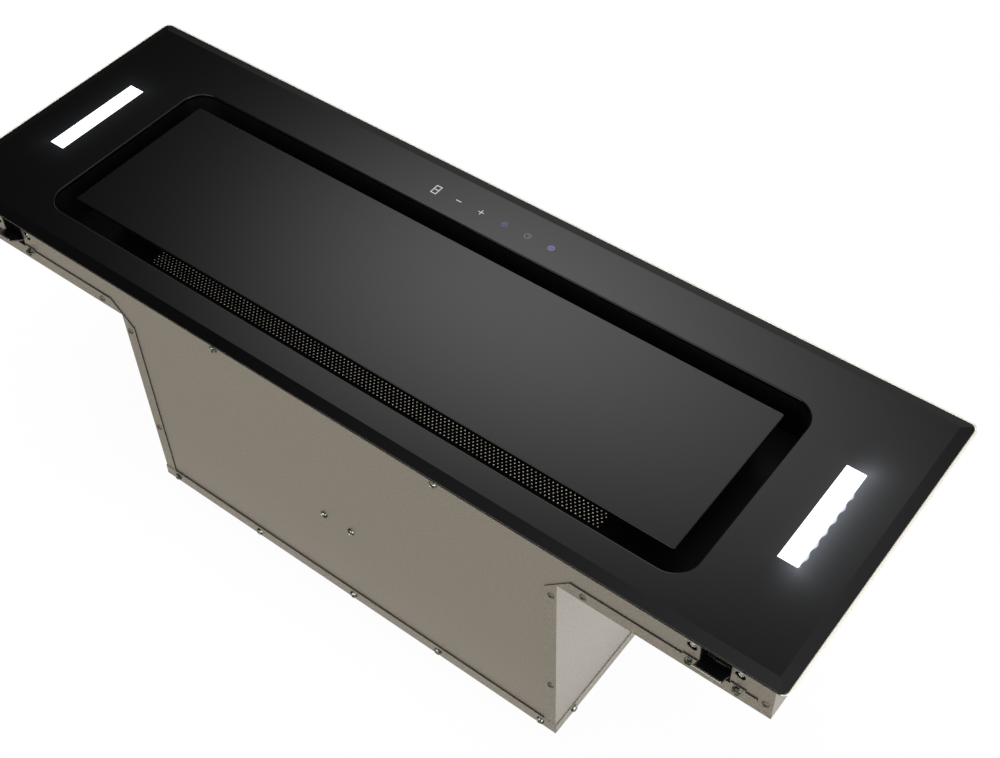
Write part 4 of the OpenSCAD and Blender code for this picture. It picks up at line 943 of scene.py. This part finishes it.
# the ground edge round the opening, which catches the light from behind
rim_edges = [edge for edge in form.edges if all(
    vert.co.z > GLASS_TOP - 2 * PRINT_T and at_opening(vert.co) for vert in edge.verts)]
bmesh.ops.bevel(form, geom=rim_edges, offset=rim_ground, segments=1, affect="EDGES")
for vert in form.verts:
    if abs(GLASS_TOP - rim_ground - vert.co.z) < 0.0002 and at_opening(vert.co):
        vert.co.z += 0.55 * rim_ground
for face in form.faces:
    face.smooth = face.calc_area() < rounding_area
    middle = face.calc_center_median()
    if middle.z < adhesive_z or middle.z < front_painted_shade_z and face.normal.y < -0.3:
        # the lower arris lies in the black adhesive; the front edge is drawn black too: painted
        # shade
        face.material_index = 1
form.to_mesh(sheet.data)
form.free()
mounted(settled(sheet), "hood_body", "glass_black", "fascia_glass")

# The light strips
# An opal acrylic lens in each window of the glass, over a board of white diodes.


def lit_acrylic(tree):
    # opal PMMA, lit from behind: an even cold white
    power = uneven(tree, 0.014, 1.0, 1.25, 1)[1]
    return add(tree, "ShaderNodeBsdfPrincipled", {
        "Base Color": linear("#e9edf2"), "Roughness": 0.35, "IOR": 1.49,
        "Emission Color": linear("#fbfdff"), "Emission Strength": power}).outputs[0]


def white_board(tree):
    # solder mask on the diode boards and white nylon: clean and slightly glossy
    rough = uneven(tree, 0.001, 0.35, 0.5)[1]
    return add(tree, "ShaderNodeBsdfPrincipled", {
        "Base Color": linear("#dcdcd7"), "Roughness": rough, "IOR": 1.53}).outputs[0]


coat(material("opal_acrylic", lit_acrylic), "led_lenses")
coat(material("white_nylon", white_board), "led_boards", "terminal_block", "led_driver",
     "capacitor")
coat(moulded, "led_housings")

# The touch keys
# Symbols left clear in the black enamel, lit from a board glued behind the glass: a figure, a
# minus, a plus, a lamp, a clock and a switch ring.

touch_y = 0.1102
key_x = {"figure": -0.0643, "minus": -0.0384, "plus": -0.0128, "lamp": 0.0134, "clock": 0.0391,
         "switch": 0.0649, "lamp_halo": 0.0134, "switch_halo": 0.0649}


def lit_print(colour, power):
    """A clear spot in the enamel, lit from behind in that colour."""
    def build(tree):
        light = uneven(tree, 0.003, power * 0.9, power * 1.1, 1)[1]
        return add(tree, "ShaderNodeBsdfPrincipled", {
            "Base Color": linear("#050505"), "Roughness": 0.08, "IOR": 1.52,
            "Emission Color": linear(colour), "Emission Strength": light}).outputs[0]
    return build


def bar(form, x0, y0, x1, y1):
    """A flat printed bar, as thin as the print."""
    block(form, Vector((x0, y0, -PRINT_T)), Vector((x1, y1, 0)))


def arc(form, inner, outer, start=0.0, end=360.0, steps=32):
    """A flat printed ring, or a part of one, from start to end in degrees."""
    whole = end - start >= 360
    section = ((inner, 0), (outer, 0), (outer, -PRINT_T), (inner, -PRINT_T))
    turns = [math.radians(start + (end - start) * i / steps)
             for i in range(steps if whole else steps + 1)]
    swept(form, [[(r * math.cos(turn), r * math.sin(turn), z) for r, z in section]
                 for turn in turns], whole)


def key(name, colour, power, draw):
    """One printed symbol at its place on the glass."""
    form = bmesh.new()
    draw(form)
    bmesh.ops.translate(form, vec=(key_x[name], touch_y, GLASS_TOP), verts=form.verts)
    piece = shaped("key_" + name, form, material("lit_" + name, lit_print(colour, power)))
    mounted(piece, "hood_body", "diffuser")


def figure(form):
    # all seven strokes of an eight, 6.6 mm wide and 11 mm high
    w, h, s = 0.0033, 0.0055, 0.00105
    for y in (-h, -s / 2, h - s):
        bar(form, -w + s, y, w - s, y + s)
    for x in (-w, w - s):
        bar(form, x, -h, x + s, h)


def minus(form):
    bar(form, -0.0030, -0.0004, 0.0030, 0.0004)


def plus(form):
    bar(form, -0.0031, -0.0003, 0.0031, 0.0003)
    bar(form, -0.0003, 0.0003, 0.0003, 0.0031)
    bar(form, -0.0003, -0.0031, 0.0003, -0.0003)


def lamp_sign(form):
    arc(form, 0.0012, 0.0021, -50, 230, 20)
    bar(form, -0.0010, -0.0026, 0.0010, -0.0020)


def clock(form):
    arc(form, 0.0026, 0.0034)
    bar(form, -0.0003, 0.0, 0.0003, 0.0018)
    bar(form, 0.0003, 0.0, 0.0015, 0.0006)


def switch(form):
    arc(form, 0.0019, 0.0027)
    bar(form, -0.0004, -0.0009, 0.0004, 0.0009)


def painted_glow_ring(form):
    # a painted glow in the enamel round a violet key
    arc(form, 0.0028, 0.0041)


key("figure", "#f0f0ee", 0.62, figure)
key("minus", "#f0f0f0", 0.75, minus)
key("plus", "#f0f0f0", 0.8, plus)
key("lamp", "#7a74d8", 0.45, lamp_sign)
key("clock", "#9a9a98", 0.36, clock)
key("switch", "#a8a2f2", 0.5, switch)
key("lamp_halo", "#46427c", 0.3, painted_glow_ring)
key("switch_halo", "#4b4680", 0.4, painted_glow_ring)
coat(moulded, "digit_display")

# The electrics
# A fibreglass board with green solder mask behind the keys, and a moulded box in the pan with
# its own board, the mains terminals, the lamp driver and a clamping gland for the supply cable.


def solder_mask(tree):
    # glossy green varnish over copper tracks that show as paler lines 0.6 mm wide
    place = add(tree, "ShaderNodeTexCoord").outputs["Object"]
    track = add(tree, "ShaderNodeTexBrick", {
        "Vector": place, "Color1": linear("#0e4a25"), "Color2": linear("#0b3f1f"),
        "Mortar": linear("#2b7a45"), "Scale": 1, "Mortar Size": 0.0006, "Brick Width": 0.011,
        "Row Height": 0.004}).outputs[0]
    return add(tree, "ShaderNodeBsdfPrincipled", {
        "Base Color": track, "Roughness": 0.28, "IOR": 1.5}).outputs[0]


coat(material("solder_mask", solder_mask), "touch_board", "main_board")
coat(moulded, "control_box", "control_box_cover", "cable_gland")

# The blower
# A galvanised spiral housing with a ring in each side, a moulded double wheel with forward
# blades, and a die-cast capacitor motor held in one side by a strap.


def cast_aluminium(tree):
    # die-cast and tumbled: grey, dull and slightly pitted
    pits, rough = uneven(tree, 0.0013, 0.45, 0.65, 4)
    bump = add(tree, "ShaderNodeBump", {
        "Height": pits, "Distance": 0.0001, "Strength": 0.6}).outputs[0]
    return add(tree, "ShaderNodeBsdfPrincipled", {
        "Base Color": linear("#8f9091"), "Metallic": 1, "Roughness": rough,
        "Normal": bump}).outputs[0]


coat(zinc_sheet, "scroll_wrap", "scroll_sides", "inlet_rings", "blower_bracket", "motor_bracket")
coat(moulded, "impeller")
coat(plated, "motor_shaft")
coat(material("cast_aluminium", cast_aluminium), "motor")

# The centre panel
# A plate of black glass glued on a folded galvanised tray, which hangs on two pins at its rear
# edge and is held shut by a magnet at each side. Air is drawn in round it.


def panel_glass(tree):
    # the same glass with a finely etched face: a little hazier and paler than the fascia
    rough = uneven(tree, 0.15, 0.05, 0.09)[1]
    return add(tree, "ShaderNodeBsdfPrincipled", {
        "Base Color": linear("#060606"), "Roughness": rough, "IOR": 1.49}).outputs[0]


etched = material("panel_glass", panel_glass)
for name, arris, made_of, slot in (("panel_glass", 0.0006, etched, "glass_black"),
                                   ("panel_tray", sheet_arris, zinc_sheet, "galvanised")):
    mounted(settled(broken_edges(name, arris, made_of)), "centre_panel", slot, name)
coat(plated, "panel_hinge_arms", "panel_hinge_brackets", "panel_hinge_pins", "panel_strikes")
coat(moulded, "panel_posts")


def magnet(tree):
    # nickel-plated magnet: mirror-bright with a warm cast
    rough = uneven(tree, 0.004, 0.12, 0.22)[1]
    return add(tree, "ShaderNodeBsdfPrincipled", {
        "Base Color": linear("#c8c3ba"), "Metallic": 1, "Roughness": rough}).outputs[0]


coat(material("nickel_plate", magnet), "panel_magnets")

bpy.context.view_layer.update()
